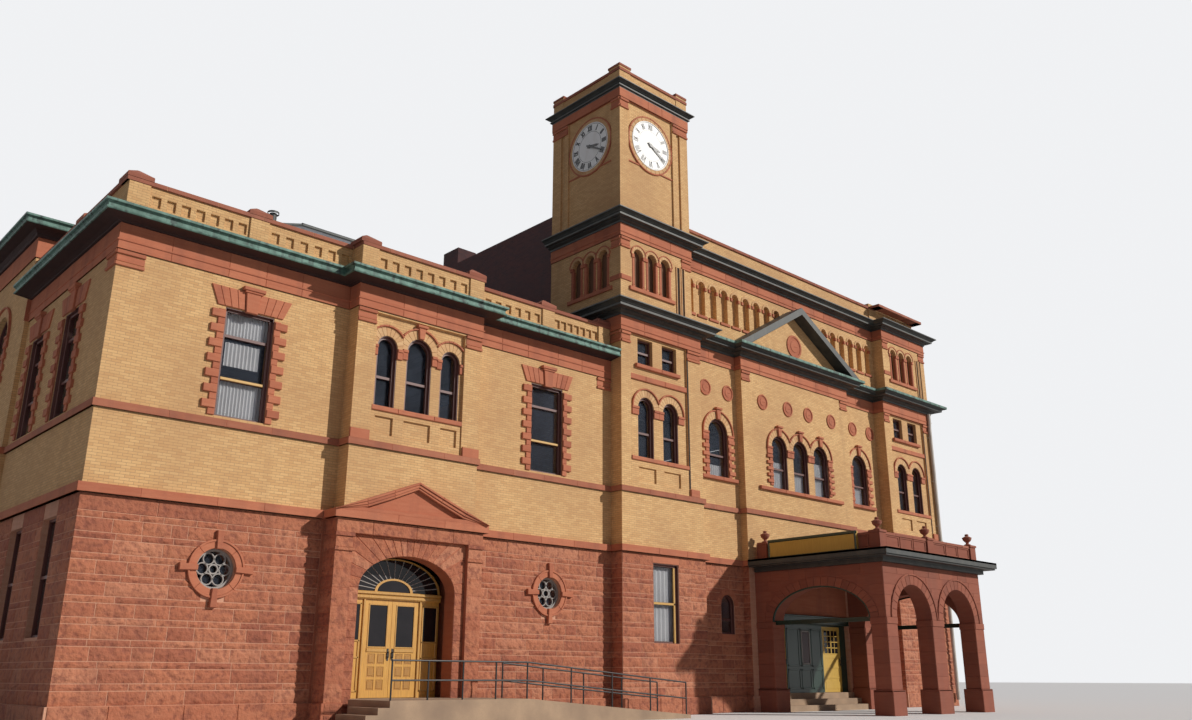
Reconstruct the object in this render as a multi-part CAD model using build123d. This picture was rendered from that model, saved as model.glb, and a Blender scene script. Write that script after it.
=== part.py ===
"""A brick and sandstone theatre with a clock tower, an entrance bay and an arched portico.

Millimetres. X runs along the front to the right, Y runs into the building, Z is up.
X = 0, Y = 0 is the left front corner of the hall wing and Z = 0 is the ground.
"""

import os

from build123d import *

os.makedirs("parts", exist_ok=True)

# walls and floors
STONE_WALL = 550
BRICK_WALL = 400
SLAB = 200
FLOOR = 600
WATER_TABLE = 520
FOOT_OUT = 60

# the entrance and the storey of stone above it
LEAF_TALL = 2400
TRANSOM_TALL = 200
ARCH_HALF = 1435
ARCH_RISE = 860
ARCH_STONE = 440
ENTABLATURE_TALL = 350
LEAF_TOP = FLOOR + LEAF_TALL
ARCH_SPRING = LEAF_TOP + TRANSOM_TALL
ENTABLATURE = ARCH_SPRING + ARCH_RISE + ARCH_STONE
STONE_TOP = ENTABLATURE + ENTABLATURE_TALL

# string courses
LEDGE_TALL = 200
LEDGE_OUT = 110
BELT_UP = 1680
BELT_TALL = 170
BELT_OUT = 60
BRICK_FOOT = STONE_TOP + LEDGE_TALL
BELT_FOOT = BRICK_FOOT + BELT_UP
BELT_TOP = BELT_FOOT + BELT_TALL

# windows with square heads
SASH_W = 1260
SASH_UP = 80
SASH_TALL = 2710
SASH_FOOT = BELT_TOP + SASH_UP
SASH_TOP = SASH_FOOT + SASH_TALL

# levels above the brick storey of the hall
WALL_OVER_SASH = 760
HALL_FRIEZE_TALL = 630
HALL_BED_TALL = 60
HALL_GUTTER_TALL = 250
HALL_PARAPET_TALL = 790
COPING_TALL = 100
PIER_TALL = 990
PIER_POINT_TALL = 180
ROOF_RISE = 4110
ROOF_T = 200
HALL_FRIEZE = SASH_TOP + WALL_OVER_SASH
HALL_SOFFIT = HALL_FRIEZE + HALL_FRIEZE_TALL
HALL_BED = HALL_SOFFIT + HALL_BED_TALL
HALL_GUTTER = HALL_BED + HALL_GUTTER_TALL
HALL_COPING = HALL_GUTTER + HALL_PARAPET_TALL
RIDGE = HALL_GUTTER + ROOF_RISE

# the entrance bay, from its three windows outwards
BAY_MID_HALF = 400
BAY_SIDE_HALF = 310
BAY_HOOD = 95
BAY_COLUMN = 120
BAY_SILL_UP = 970
BAY_MID_TALL = 1700
BAY_SIDE_TALL = 1660
BAY_PIER = 565
BAY_STONE_MORE = 220
BAY_STONE_OUT = 600
BAY_BRICK_OUT = 500
PANEL_BACK = 100
PANEL_UNDER_FRIEZE = 50
PILASTER_W = 480
FIELD_BACK = 120
PEDIMENT_TALL = 900
BAY_SILL = BELT_TOP + BAY_SILL_UP
BAY_SIDE_OFF = BAY_MID_HALF + BAY_HOOD + BAY_COLUMN + BAY_HOOD + BAY_SIDE_HALF
PANEL_HALF = BAY_SIDE_OFF + BAY_SIDE_HALF + BAY_HOOD + 10
BAY_BRICK_HALF = PANEL_HALF + BAY_PIER
BAY_STONE_HALF = BAY_BRICK_HALF + BAY_STONE_MORE

# plan of the hall
HALL_LEFT_WALL = 5950
HALL_RIGHT_WALL = 5650
HALL_WINDOW_L = 3260
HALL_WINDOW_R = 2720
OCULUS_L = 3100
OCULUS_R_IN = 2530
OCULUS_UP = 2850
OCULUS_R = 460
OCULUS_RING = 660
SIDE_WINDOWS = [2750, 5560]
SIDE_STONE_WINDOWS = [1900, 4550]
SIDE_STONE_HALF = 500
SIDE_STONE_UP = 1300
SIDE_STONE_UNDER = 350
PAV_AFTER_WINDOW = 1390
PAV_WINDOW_IN = 2550
PAV_LONG = 5650
PAV_W = 4200
PAV_OUT = 120
PAV_WINDOW_HALF = 800
PAV_WINDOW_UP = 900
PAV_WINDOW_TALL = 2600
PAV_FRIEZE_UP = 960
PAV_FRIEZE_TALL = 600
PAV_BED_TALL = 200
PAV_GUTTER_TALL = 250
PAV_ROOF_RISE = 1300
BACK_WINDOW_FROM = 2300
BACK_WINDOW_PITCH = 2900
BAY_X = HALL_LEFT_WALL + BAY_BRICK_HALF
HALL_W = BAY_X + BAY_BRICK_HALF + HALL_RIGHT_WALL
PAV_FRONT = SIDE_WINDOWS[1] + PAV_AFTER_WINDOW
HALL_D = PAV_FRONT + PAV_LONG
PAV_BACK = HALL_D + PAV_OUT
PAV_WINDOW_Y = PAV_FRONT + PAV_WINDOW_IN
PAV_FRIEZE = HALL_GUTTER + PAV_FRIEZE_UP
PAV_SOFFIT = PAV_FRIEZE + PAV_FRIEZE_TALL
PAV_GUTTER = PAV_SOFFIT + PAV_BED_TALL + PAV_GUTTER_TALL

# cornices and parapets of the hall
GUTTER_OUT = 550
BED_OUT = 200
PARAPET_WALL = 350
COPING_OUT = 50
PIER = 500
FRIEZE_OUT = 30

# the clock tower, across one face from the corner strip
CORNER_STRIP = 430
DIAL_R = 930
DIAL_RING = 1130
CLOCK_PANEL_HALF = DIAL_RING + 20
CLOCK_GROOVE_FROM = 220
CLOCK_GROOVE_W = 190
FAR_STRIP = 410
TOWER_DEEPER = 50
CLOCK_PANEL_IN = 60
TOWER_FACE_MID = CORNER_STRIP + CLOCK_PANEL_HALF
CLOCK_GROOVE = TOWER_FACE_MID + CLOCK_PANEL_HALF + CLOCK_GROOVE_FROM
TOWER_W = CLOCK_GROOVE + CLOCK_GROOVE_W + FAR_STRIP
TOWER_D = TOWER_W + TOWER_DEEPER

# the portico, from its middle pier outwards
CENTRE_PIER_HALF = 370
PORT_ARCH_R = 1080
PORT_CORNER = 620
PIER_DEEP = 560
REAR_PIER = 690
SIDE_ARCH_HALF = 1925
SIDE_ARCH_RISE = 1100
PORT_TOP_UNDER = 400
PORT_ARCH_TALL = 1710
PORT_PARAPET_TALL = 570
PORT_ARCH_OFF = CENTRE_PIER_HALF + PORT_ARCH_R
PORT_HALF = CENTRE_PIER_HALF + 2 * PORT_ARCH_R + PORT_CORNER
PORT_TOP = BRICK_FOOT - PORT_TOP_UNDER
PORT_SPRING = PORT_TOP - PORT_ARCH_TALL
PORT_CORNICE = BRICK_FOOT
PORT_PARAPET = PORT_CORNICE + PORT_PARAPET_TALL

# plan of the theatre block
CENTRE_MORE = 300
RECESS_W = 2550
WING_MORE = 350
WING_OUT = 500
CENTRE_OUT = 300
STAGE_D = 22000
UPPER_D = 10100
CENTRE_HALF = PORT_HALF + CENTRE_MORE
WING_W = TOWER_W + WING_MORE
STAGE_HALF = CENTRE_HALF + RECESS_W + WING_W
STAGE_X = HALL_W + STAGE_HALF
WING_L = STAGE_X - STAGE_HALF
WING_R = STAGE_X + STAGE_HALF
TOWER_BACK = TOWER_D - WING_OUT
PORT_OUT = CENTRE_OUT + REAR_PIER + 2 * SIDE_ARCH_HALF + PIER_DEEP
SIDE_ARCH_Y = -(CENTRE_OUT + REAR_PIER + SIDE_ARCH_HALF)

# windows of the pavilions, and the levels that stand on them
WING_SILL_UP = 1030
WING_ARCH_HALF = 370
WING_ARCH_TALL = 1680
WING_HOOD = 180
WING_ARCH_GAP = 90
WING_ARCH_FROM = 1200
WING_PANEL_FROM = 450
WING_PANEL_TO = 700
WING_PANEL_IN = 70
BAND_OVER_HOOD = 360
BAND_TALL = 180
SMALL_RECT_UP = 380
SMALL_RECT_TALL = 920
SMALL_RECT_W = 720
WALL_OVER_SMALL = 100
STAGE_FRIEZE_TALL = 500
STAGE_BED_TALL = 160
STAGE_GUTTER_TALL = 240
STAGE_GUTTER_OUT = 600
WING_SILL = BELT_TOP + WING_SILL_UP
WING_ARCH_SPRING = WING_SILL + WING_ARCH_TALL
BAND_FOOT = WING_ARCH_SPRING + WING_ARCH_HALF + WING_HOOD + BAND_OVER_HOOD
SMALL_RECT_FOOT = BAND_FOOT + BAND_TALL + SMALL_RECT_UP
SMALL_RECT_TOP = SMALL_RECT_FOOT + SMALL_RECT_TALL
STAGE_FRIEZE = SMALL_RECT_TOP + WALL_OVER_SMALL
STAGE_SOFFIT = STAGE_FRIEZE + STAGE_FRIEZE_TALL
STAGE_BED = STAGE_SOFFIT + STAGE_BED_TALL
STAGE_GUTTER = STAGE_BED + STAGE_GUTTER_TALL
WING_ARCH_PITCH = 2 * (WING_ARCH_HALF + WING_HOOD) + WING_ARCH_GAP
WING_PANEL = WING_W - WING_PANEL_FROM - WING_PANEL_TO

# other windows of the theatre front
RECESS_ARCH_IN = 1095
RECESS_ARCH_HALF = 530
RECESS_ARCH_TALL = 1590
RECESS_HOOD = 200
CENTRE_ARCH_HALF = 470
CENTRE_ARCH_TALL = 1570
CENTRE_HOOD = 170
CENTRE_GAP = 50
CENTRE_SILL_UNDER = 100
STONE_WINDOW_IN = 1960
STONE_WINDOW_HALF = 590
STONE_WINDOW_UP = 1530
STONE_WINDOW_UNDER = 270
SMALL_ARCH_IN = 880
SMALL_ARCH_HALF = 350
SMALL_ARCH_UP = 1930
SMALL_ARCH_TALL = 960
STAGE_SIDE_FROM = 3200
STAGE_SIDE_PITCH = 3600
STAGE_SIDE_COUNT = 5
CENTRE_OFF = 2 * (CENTRE_ARCH_HALF + CENTRE_HOOD) + CENTRE_GAP
CENTRE_SILL = WING_SILL - CENTRE_SILL_UNDER
RECESS_ARCH_OFF = CENTRE_HALF + RECESS_ARCH_IN

# medallions
MEDALLION_R = 300
CENTRE_MEDALLION_UNDER = 1150
RECESS_MEDALLION_UNDER = 970
RECESS_MEDALLION_OFF = 625
OUTER_MEDALLION = 910
GABLE_MEDALLION_R = 480
GABLE_MEDALLION_UP = 750

# the upper storey
TRIPLE_FROM = 850
TRIPLE_HALF = 230
TRIPLE_GAP = 210
TRIPLE_UP = 750
TRIPLE_TALL = 1210
WALL_OVER_TRIPLE = 310
ARCADE_COUNT = 19
ARCADE_END = 500
ARCADE_HALF = 190
ARCADE_UP = 870
ARCADE_TALL = 1140
NICHE_IN = 180
UPPER_FRIEZE_TALL = 450
UPPER_BED_TALL = 130
UPPER_GUTTER_TALL = 220
UPPER_OUT = 500
UPPER_PARAPET_TALL = 750
SIDE_WALL_MORE = 250
CHIMNEY_TALL = 700
CHIMNEY_W = 900
CHIMNEY_D = 1030
GABLE_RISE = 2000
GABLE_OUT = 500
TRIPLE_FOOT = STAGE_GUTTER + TRIPLE_UP
TRIPLE_SPRING = TRIPLE_FOOT + TRIPLE_TALL
ARCADE_FOOT = STAGE_GUTTER + ARCADE_UP
UPPER_FRIEZE = TRIPLE_SPRING + TRIPLE_HALF + WALL_OVER_TRIPLE
UPPER_SOFFIT = UPPER_FRIEZE + UPPER_FRIEZE_TALL
UPPER_BED = UPPER_SOFFIT + UPPER_BED_TALL
UPPER_GUTTER = UPPER_BED + UPPER_GUTTER_TALL
UPPER_COPING = UPPER_GUTTER + UPPER_PARAPET_TALL
SIDE_WALL_TOP = UPPER_COPING + COPING_TALL + SIDE_WALL_MORE

# the clock stage
DIAL_UP = 3210
FRIEZE_OVER_DIAL = 1390
CLOCK_FRIEZE_TALL = 350
CLOCK_BED_TALL = 90
CLOCK_BED_OUT = 100
CLOCK_GUTTER_TALL = 180
CLOCK_OUT = 230
CLOCK_PARAPET_TALL = 480
CLOCK_PANEL_UP = 200
DIAL_Z = UPPER_GUTTER + DIAL_UP
CLOCK_FRIEZE = DIAL_Z + FRIEZE_OVER_DIAL
CLOCK_SOFFIT = CLOCK_FRIEZE + CLOCK_FRIEZE_TALL
CLOCK_GUTTER = CLOCK_SOFFIT + CLOCK_BED_TALL + CLOCK_GUTTER_TALL
CLOCK_PARAPET = CLOCK_GUTTER + CLOCK_PARAPET_TALL
CLOCK_TOP = CLOCK_PARAPET + COPING_TALL

# reach of cuts that go right through, and of rooms behind a front
FAR = 60000
DEEP = 2000
BEHIND = 3000


def box(x0, x1, y0, y1, z0, z1):
    """A block between two corners."""
    return Pos(x0, y0, z0) * Box(x1 - x0, y1 - y0, z1 - z0, align=(Align.MIN, Align.MIN, Align.MIN))


def plan(rects, grow, z0, z1):
    """The outline made of the rectangles, each grown by the same amount, as one block."""
    blocks = [box(a - grow, b + grow, c - grow, d + grow, z0, z1) for a, b, c, d in rects]
    whole = blocks[0]
    for block in blocks[1:]:
        whole = whole + block
    return whole


def ring(rects, grow, wall, z0, z1):
    """A wall or a moulding that follows the outline of a block."""
    return plan(rects, grow, z0, z1) - plan(rects, -wall, z0 - 1, z1 + 1)


def prism(points, y0, y1):
    """A shape drawn in X and Z and given a depth from y0 to y1."""
    face = Plane.XZ * make_face(Polyline(*points, close=True))
    return Pos(0, y1, 0) * extrude(face, y1 - y0)


def disc(x, z, r, y0, y1):
    """A round plate facing the street."""
    return Pos(x, (y0 + y1) / 2, z) * Rot(90, 0, 0) * Cylinder(r, y1 - y0)


def round_head(x, half, z0, spring, y0, y1):
    """A block with a half round top, for arched openings."""
    return box(x - half, x + half, y0, y1, z0, spring) + disc(x, spring, half, y0, y1)


def oval_head(x, half, z0, spring, rise, y0, y1):
    """A block with a half oval top, for the wide arches."""
    oval = Plane.XZ * Ellipse(half, rise)
    drum = Pos(x, y1, spring) * extrude(oval, y1 - y0)
    return box(x - half, x + half, y0, y1, z0, spring) + drum


def only(shape, x0, x1, y0, y1):
    """The part of a shape inside a rectangle of the plan."""
    return shape & box(x0, x1, y0, y1, -FAR, FAR)


def between(shape, z0, z1):
    """The part of a shape between two heights."""
    return shape & box(-FAR, FAR, -FAR, FAR, z0, z1)


def save(name, *shapes):
    """Write one named piece."""
    found = []
    for shape in shapes:
        found.extend(shape.solids())
    export_step(Compound(found), f"parts/{name}.step")
    print(name, len(found), "solids")


def front(y):
    """Placing for pieces on a wall that faces the street."""
    return Pos(0, y, 0)


def left(x):
    """Placing for pieces on a wall that faces left: the first coordinate becomes minus Y."""
    return Pos(x, 0, 0) * Rot(0, 0, -90)


def right(x):
    """Placing for pieces on a wall that faces right: the first coordinate becomes Y."""
    return Pos(x, 0, 0) * Rot(0, 0, 90)


def back(y):
    """Placing for pieces on the back wall: the first coordinate becomes minus X."""
    return Pos(0, y, 0) * Rot(0, 0, 180)


# outlines
hall_rect = (0, HALL_W + BEHIND, 0, HALL_D)
bay_stone_rect = (BAY_X - BAY_STONE_HALF, BAY_X + BAY_STONE_HALF, -BAY_STONE_OUT, BEHIND)
bay_brick_rect = (BAY_X - BAY_BRICK_HALF, BAY_X + BAY_BRICK_HALF, -BAY_BRICK_OUT, BEHIND)
pav_rect = (-PAV_OUT, PAV_W, PAV_FRONT, PAV_BACK)
hall_stone_plan = [hall_rect, bay_stone_rect, pav_rect]
hall_brick_plan = [hall_rect, bay_brick_rect, pav_rect]
stage_plan = [
    (WING_L, WING_R, 0, STAGE_D),
    (WING_L, WING_L + WING_W, -WING_OUT, BEHIND),
    (WING_R - WING_W, WING_R, -WING_OUT, BEHIND),
    (STAGE_X - CENTRE_HALF, STAGE_X + CENTRE_HALF, -CENTRE_OUT, BEHIND),
]
tower_rect = (WING_L, WING_L + TOWER_W, -WING_OUT, TOWER_BACK)
upper_right_rect = (WING_R - TOWER_W, WING_R, -WING_OUT, TOWER_BACK)
bay_stone_left = BAY_X - BAY_STONE_HALF - FOOT_OUT
bay_stone_right = BAY_X + BAY_STONE_HALF + FOOT_OUT
bay_brick_left = BAY_X - BAY_BRICK_HALF
bay_brick_right = BAY_X + BAY_BRICK_HALF


def hall_side(shape):
    """Cut a shape off where the theatre block begins."""
    return only(shape, -FAR, HALL_W, -FAR, FAR)


def mirrored(offsets):
    """The same places on both sides of the middle of the theatre front."""
    return [STAGE_X + o for o in offsets] + [STAGE_X - o for o in offsets]


def both_wings(offsets):
    """The same places on both pavilions, measured from the left edge of each."""
    return [WING_L + o for o in offsets] + [WING_R - WING_W + o for o in offsets]


# where the openings are, and how high
hall_windows = [HALL_WINDOW_L, HALL_W - HALL_WINDOW_R]
oculi = [OCULUS_L, HALL_W - OCULUS_R_IN]
oculus_z = FLOOR + OCULUS_UP
bay_windows = [
    (BAY_X - BAY_SIDE_OFF, BAY_SIDE_HALF, BAY_SILL + BAY_SIDE_TALL),
    (BAY_X, BAY_MID_HALF, BAY_SILL + BAY_MID_TALL),
    (BAY_X + BAY_SIDE_OFF, BAY_SIDE_HALF, BAY_SILL + BAY_SIDE_TALL),
]
side_stone_foot = FLOOR + SIDE_STONE_UP
side_stone_top = STONE_TOP - SIDE_STONE_UNDER
pav_window_foot = BELT_TOP + PAV_WINDOW_UP
pav_window_spring = pav_window_foot + PAV_WINDOW_TALL
back_windows = [PAV_W + BACK_WINDOW_FROM + n * BACK_WINDOW_PITCH for n in range(3)]
stage_side_windows = [STAGE_SIDE_FROM + n * STAGE_SIDE_PITCH for n in range(STAGE_SIDE_COUNT)]
stage_stone_windows = stage_side_windows[::2]
wing_arches = both_wings([WING_ARCH_FROM, WING_ARCH_FROM + WING_ARCH_PITCH])
wing_panels = both_wings([WING_PANEL_FROM])
stone_windows = both_wings([STONE_WINDOW_IN])
stone_window_foot = FLOOR + STONE_WINDOW_UP
stone_window_top = STONE_TOP - STONE_WINDOW_UNDER
small_arches = mirrored([CENTRE_HALF + SMALL_ARCH_IN])
small_arch_foot = FLOOR + SMALL_ARCH_UP
small_arch_spring = small_arch_foot + SMALL_ARCH_TALL
recess_arches = mirrored([RECESS_ARCH_OFF])
recess_arch_spring = WING_SILL + RECESS_ARCH_TALL
centre_arches = [STAGE_X + n * CENTRE_OFF for n in (-1, 0, 1)]
centre_arch_spring = CENTRE_SILL + CENTRE_ARCH_TALL


def square_cut(place, x, half, z0, z1):
    """Room for a window with a square head, right through a wall."""
    return place * box(x - half, x + half, -DEEP, DEEP, z0, z1)


def round_cut(place, x, half, z0, spring):
    """Room for a window with a round head, right through a wall."""
    return place * round_head(x, half, z0, spring, -DEEP, DEEP)


hall_front_cuts = [square_cut(front(0), x, SASH_W / 2, SASH_FOOT, SASH_TOP) for x in hall_windows]
oculus_cuts = [disc(x, oculus_z, OCULUS_R, -DEEP, DEEP) for x in oculi]
bay_cuts = [round_cut(front(0), x, half, BAY_SILL, spring) for x, half, spring in bay_windows]
side_cuts = [square_cut(left(0), -y, SASH_W / 2, SASH_FOOT, SASH_TOP) for y in SIDE_WINDOWS]
side_cuts.append(round_cut(left(0), -PAV_WINDOW_Y, PAV_WINDOW_HALF, pav_window_foot, pav_window_spring))
side_stone_cuts = [
    square_cut(left(0), -y, SIDE_STONE_HALF, side_stone_foot, side_stone_top)
    for y in SIDE_STONE_WINDOWS + [PAV_WINDOW_Y]
]
hall_back_cuts = [square_cut(back(HALL_D), -x, SASH_W / 2, SASH_FOOT, SASH_TOP) for x in back_windows]
stage_side_cuts = [
    square_cut(right(WING_R), y, SASH_W / 2, SASH_FOOT, SASH_TOP) for y in stage_side_windows
]
stage_side_stone_cuts = [
    square_cut(right(WING_R), y, SIDE_STONE_HALF, side_stone_foot, side_stone_top) for y in stage_stone_windows
]
wing_cuts = [round_cut(front(0), x, WING_ARCH_HALF, WING_SILL, WING_ARCH_SPRING) for x in wing_arches]
wing_cuts += [square_cut(front(0), x, SMALL_RECT_W / 2, SMALL_RECT_FOOT, SMALL_RECT_TOP) for x in wing_arches]
wing_cuts += [
    box(x, x + WING_PANEL, -WING_OUT - 1, -WING_OUT + WING_PANEL_IN, BELT_TOP, STAGE_FRIEZE) for x in wing_panels
]
middle_cuts = [round_cut(front(0), x, RECESS_ARCH_HALF, WING_SILL, recess_arch_spring) for x in recess_arches]
middle_cuts += [round_cut(front(0), x, CENTRE_ARCH_HALF, CENTRE_SILL, centre_arch_spring) for x in centre_arches]
stage_stone_cuts = [
    square_cut(front(0), x, STONE_WINDOW_HALF, stone_window_foot, stone_window_top) for x in stone_windows
]
stage_stone_cuts += [
    round_cut(front(0), x, SMALL_ARCH_HALF, small_arch_foot, small_arch_spring) for x in small_arches
]

# stone storey of the hall
hall_stone = hall_side(ring(hall_stone_plan, 0, STONE_WALL, 0, STONE_TOP))
hall_stone = hall_stone + hall_side(ring(hall_stone_plan, FOOT_OUT, STONE_WALL, 0, WATER_TABLE))
hall_front = only(hall_stone, -FAR, FAR, -FAR, STONE_WALL)
hall_front_left = only(hall_front, -FAR, bay_stone_left, -FAR, FAR) - oculus_cuts
hall_front_right = only(hall_front, bay_stone_right, FAR, -FAR, FAR) - oculus_cuts
save("hall_stone_front", hall_front_left, hall_front_right)
save("hall_stone_sides", only(hall_stone, -FAR, FAR, STONE_WALL, FAR) - side_stone_cuts)

# the entrance bay: a recessed field between two pilasters, with the oval arch in the field
field_half = BAY_STONE_HALF - PILASTER_W
field_y = -BAY_STONE_OUT + FIELD_BACK
field = box(BAY_X - field_half, BAY_X + field_half, -DEEP, field_y, -1, ENTABLATURE)
doorway = oval_head(BAY_X, ARCH_HALF, -1, ARCH_SPRING, ARCH_RISE, -DEEP, DEEP)
bay_body = only(hall_front, bay_stone_left, bay_stone_right, -FAR, FAR) - field - doorway
save("bay_jambs", between(bay_body, 0, ARCH_SPRING))
save("bay_arch", between(bay_body, ARCH_SPRING, STONE_TOP))

# pediment over the entrance arch
PEDIMENT_MORE = 80
PEDIMENT_OUT = 120
PEDIMENT_RIM = 90
PEDIMENT_END = 520
PEDIMENT_CROWN = 170
TYMPANUM_IN = 100
ped_half = BAY_STONE_HALF + PEDIMENT_MORE
ped_top = BRICK_FOOT + PEDIMENT_TALL
ped_front = -BAY_STONE_OUT - PEDIMENT_OUT
tympanum_half = ped_half - PEDIMENT_END
pediment = prism(
    [(BAY_X - ped_half, BRICK_FOOT), (BAY_X + ped_half, BRICK_FOOT), (BAY_X, ped_top)], ped_front, -BAY_BRICK_OUT
)
tympanum = prism(
    [
        (BAY_X - tympanum_half, BRICK_FOOT + PEDIMENT_RIM),
        (BAY_X + tympanum_half, BRICK_FOOT + PEDIMENT_RIM),
        (BAY_X, ped_top - PEDIMENT_CROWN),
    ],
    ped_front - 1,
    ped_front + TYMPANUM_IN,
)
save("bay_pediment", pediment - tympanum)

# stone storey of the theatre, with the doorway behind the portico
PLINTH = 750
PLINTH_OUT = 60
JAMB_OUT = 70
PORT_LEAF_TALL = 2350
FASCIA_GAP = 50
FASCIA_TALL = 300
port_leaf_top = FLOOR + PORT_LEAF_TALL
fascia_foot = port_leaf_top + FASCIA_GAP
doorway_top = fascia_foot + FASCIA_TALL
doorway_half = PORT_HALF - PORT_CORNER - PLINTH_OUT - JAMB_OUT
door_left = STAGE_X - doorway_half
door_right = STAGE_X + doorway_half
stage_stone = ring(stage_plan, 0, STONE_WALL, 0, STONE_TOP)
stage_foot = ring(stage_plan, FOOT_OUT, STONE_WALL, 0, WATER_TABLE)
stage_foot = stage_foot - box(-FAR, WING_L, 0, HALL_D, -1, STONE_TOP)
behind_portico = PORT_HALF + PLINTH_OUT
stage_foot = stage_foot - box(STAGE_X - behind_portico, STAGE_X + behind_portico, -DEEP, -CENTRE_OUT, -1, STONE_TOP)
stage_stone = stage_stone + only(stage_foot, WING_L, FAR, -FAR, FAR)
stage_stone_front = only(stage_stone, -FAR, FAR, -FAR, STONE_WALL) - stage_stone_cuts
save(
    "theatre_stone_front",
    only(stage_stone_front, -FAR, door_left, -FAR, FAR),
    only(stage_stone_front, door_right, FAR, -FAR, FAR),
)
save("theatre_lintel", between(only(stage_stone_front, door_left, door_right, -FAR, FAR), doorway_top, STONE_TOP))
save("theatre_stone_sides", only(stage_stone, -FAR, FAR, STONE_WALL, FAR) - stage_side_stone_cuts)

# floors
hall_floor = hall_side(plan([hall_rect, pav_rect], -STONE_WALL, 0, FLOOR))
sill = box(BAY_X - ARCH_HALF, BAY_X + ARCH_HALF, field_y, STONE_WALL, 0, FLOOR)
bay_floor_half = BAY_STONE_HALF - STONE_WALL
bay_floor = box(BAY_X - bay_floor_half, BAY_X + bay_floor_half, -BAY_STONE_OUT + STONE_WALL, STONE_WALL, 0, FLOOR)
stage_floor = plan(stage_plan, -STONE_WALL, 0, FLOOR)
stage_sill = box(door_left, door_right, -CENTRE_OUT, STONE_WALL, 0, FLOOR)
save("ground_floor", hall_floor + sill + bay_floor, stage_floor + stage_sill)
hall_slab = hall_side(plan(hall_stone_plan, -STONE_WALL, STONE_TOP, BRICK_FOOT))
stage_slab = plan(stage_plan, -STONE_WALL, STONE_TOP, BRICK_FOOT)
save("upper_floor", hall_slab, stage_slab)


def string_course(hall_plan, out, wall, z0, z1):
    """A moulding right round both blocks, returned at the corner where they meet."""
    hall = hall_side(ring(hall_plan, out, wall, z0, z1))
    stage = only(ring(stage_plan, out, wall, z0, z1), WING_L, FAR, -FAR, FAR)
    corner = box(WING_L - out, WING_L, -WING_OUT - out, -out, z0, z1)
    return hall + stage + corner


save("ledge_course", string_course(hall_stone_plan, LEDGE_OUT, STONE_WALL, STONE_TOP, BRICK_FOOT))
save("belt_course", string_course(hall_brick_plan, BELT_OUT, 0, BELT_FOOT, BELT_TOP))

# brick storey of the hall, and the walls of the corner pavilion above its roof line
hall_brick = hall_side(ring(hall_brick_plan, 0, BRICK_WALL, BRICK_FOOT, HALL_FRIEZE))
hall_brick_front = only(hall_brick, -FAR, FAR, -FAR, BRICK_WALL)
save(
    "hall_brick_front",
    only(hall_brick_front, -FAR, bay_brick_left, -FAR, FAR) - hall_front_cuts,
    only(hall_brick_front, bay_brick_right, FAR, -FAR, FAR) - hall_front_cuts,
)
panel_y = -BAY_BRICK_OUT + PANEL_BACK
panel_top = HALL_FRIEZE - PANEL_UNDER_FRIEZE
bay_panel = box(BAY_X - PANEL_HALF, BAY_X + PANEL_HALF, -DEEP, panel_y, BELT_TOP, panel_top)
save("bay_brick", only(hall_brick_front, bay_brick_left, bay_brick_right, -FAR, FAR) - bay_panel - bay_cuts)
save("hall_brick_sides", only(hall_brick, -FAR, FAR, BRICK_WALL, FAR) - side_cuts - hall_back_cuts)
save("corner_pavilion_walls", ring([pav_rect], 0, BRICK_WALL, HALL_FRIEZE, PAV_FRIEZE) - side_cuts)

# brick storey of the theatre: two pavilions, two recesses and the middle bay
stage_brick = ring(stage_plan, 0, BRICK_WALL, BRICK_FOOT, STAGE_FRIEZE)
stage_brick_front = only(stage_brick, -FAR, FAR, -FAR, BRICK_WALL)
wing_brick = stage_brick_front - wing_cuts
save(
    "theatre_pavilions",
    only(wing_brick, -FAR, WING_L + WING_W, -FAR, FAR),
    only(wing_brick, WING_R - WING_W, FAR, -FAR, FAR),
)
middle_wall = stage_brick_front - middle_cuts
save("theatre_centre_wall", only(middle_wall, STAGE_X - CENTRE_HALF, STAGE_X + CENTRE_HALF, -FAR, FAR))
save(
    "theatre_recess_walls",
    only(middle_wall, WING_L + WING_W, STAGE_X - CENTRE_HALF, -FAR, FAR),
    only(middle_wall, STAGE_X + CENTRE_HALF, WING_R - WING_W, -FAR, FAR),
)
save("theatre_brick_sides", only(stage_brick, -FAR, FAR, BRICK_WALL, FAR) - stage_side_cuts)

# friezes and cornices
beside_pav = box(-FAR, PAV_W, PAV_FRONT, FAR, -FAR, FAR)
hall_frieze = hall_side(ring(hall_brick_plan, FRIEZE_OUT, BRICK_WALL, HALL_FRIEZE, HALL_SOFFIT)) - beside_pav
pav_frieze = ring([pav_rect], FRIEZE_OUT, BRICK_WALL, PAV_FRIEZE, PAV_SOFFIT)
stage_frieze = ring(stage_plan, FRIEZE_OUT, BRICK_WALL, STAGE_FRIEZE, STAGE_SOFFIT)
save("eaves_friezes", hall_frieze, only(pav_frieze, -FAR, PAV_W, -FAR, FAR), stage_frieze)


def cornice(rects, out, bed_out, wall, z0, z1, z2):
    """A boxed eaves cornice: a bed moulding with the wider gutter on top."""
    return ring(rects, bed_out, wall, z0, z1) + ring(rects, out, wall, z1, z2)


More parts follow.
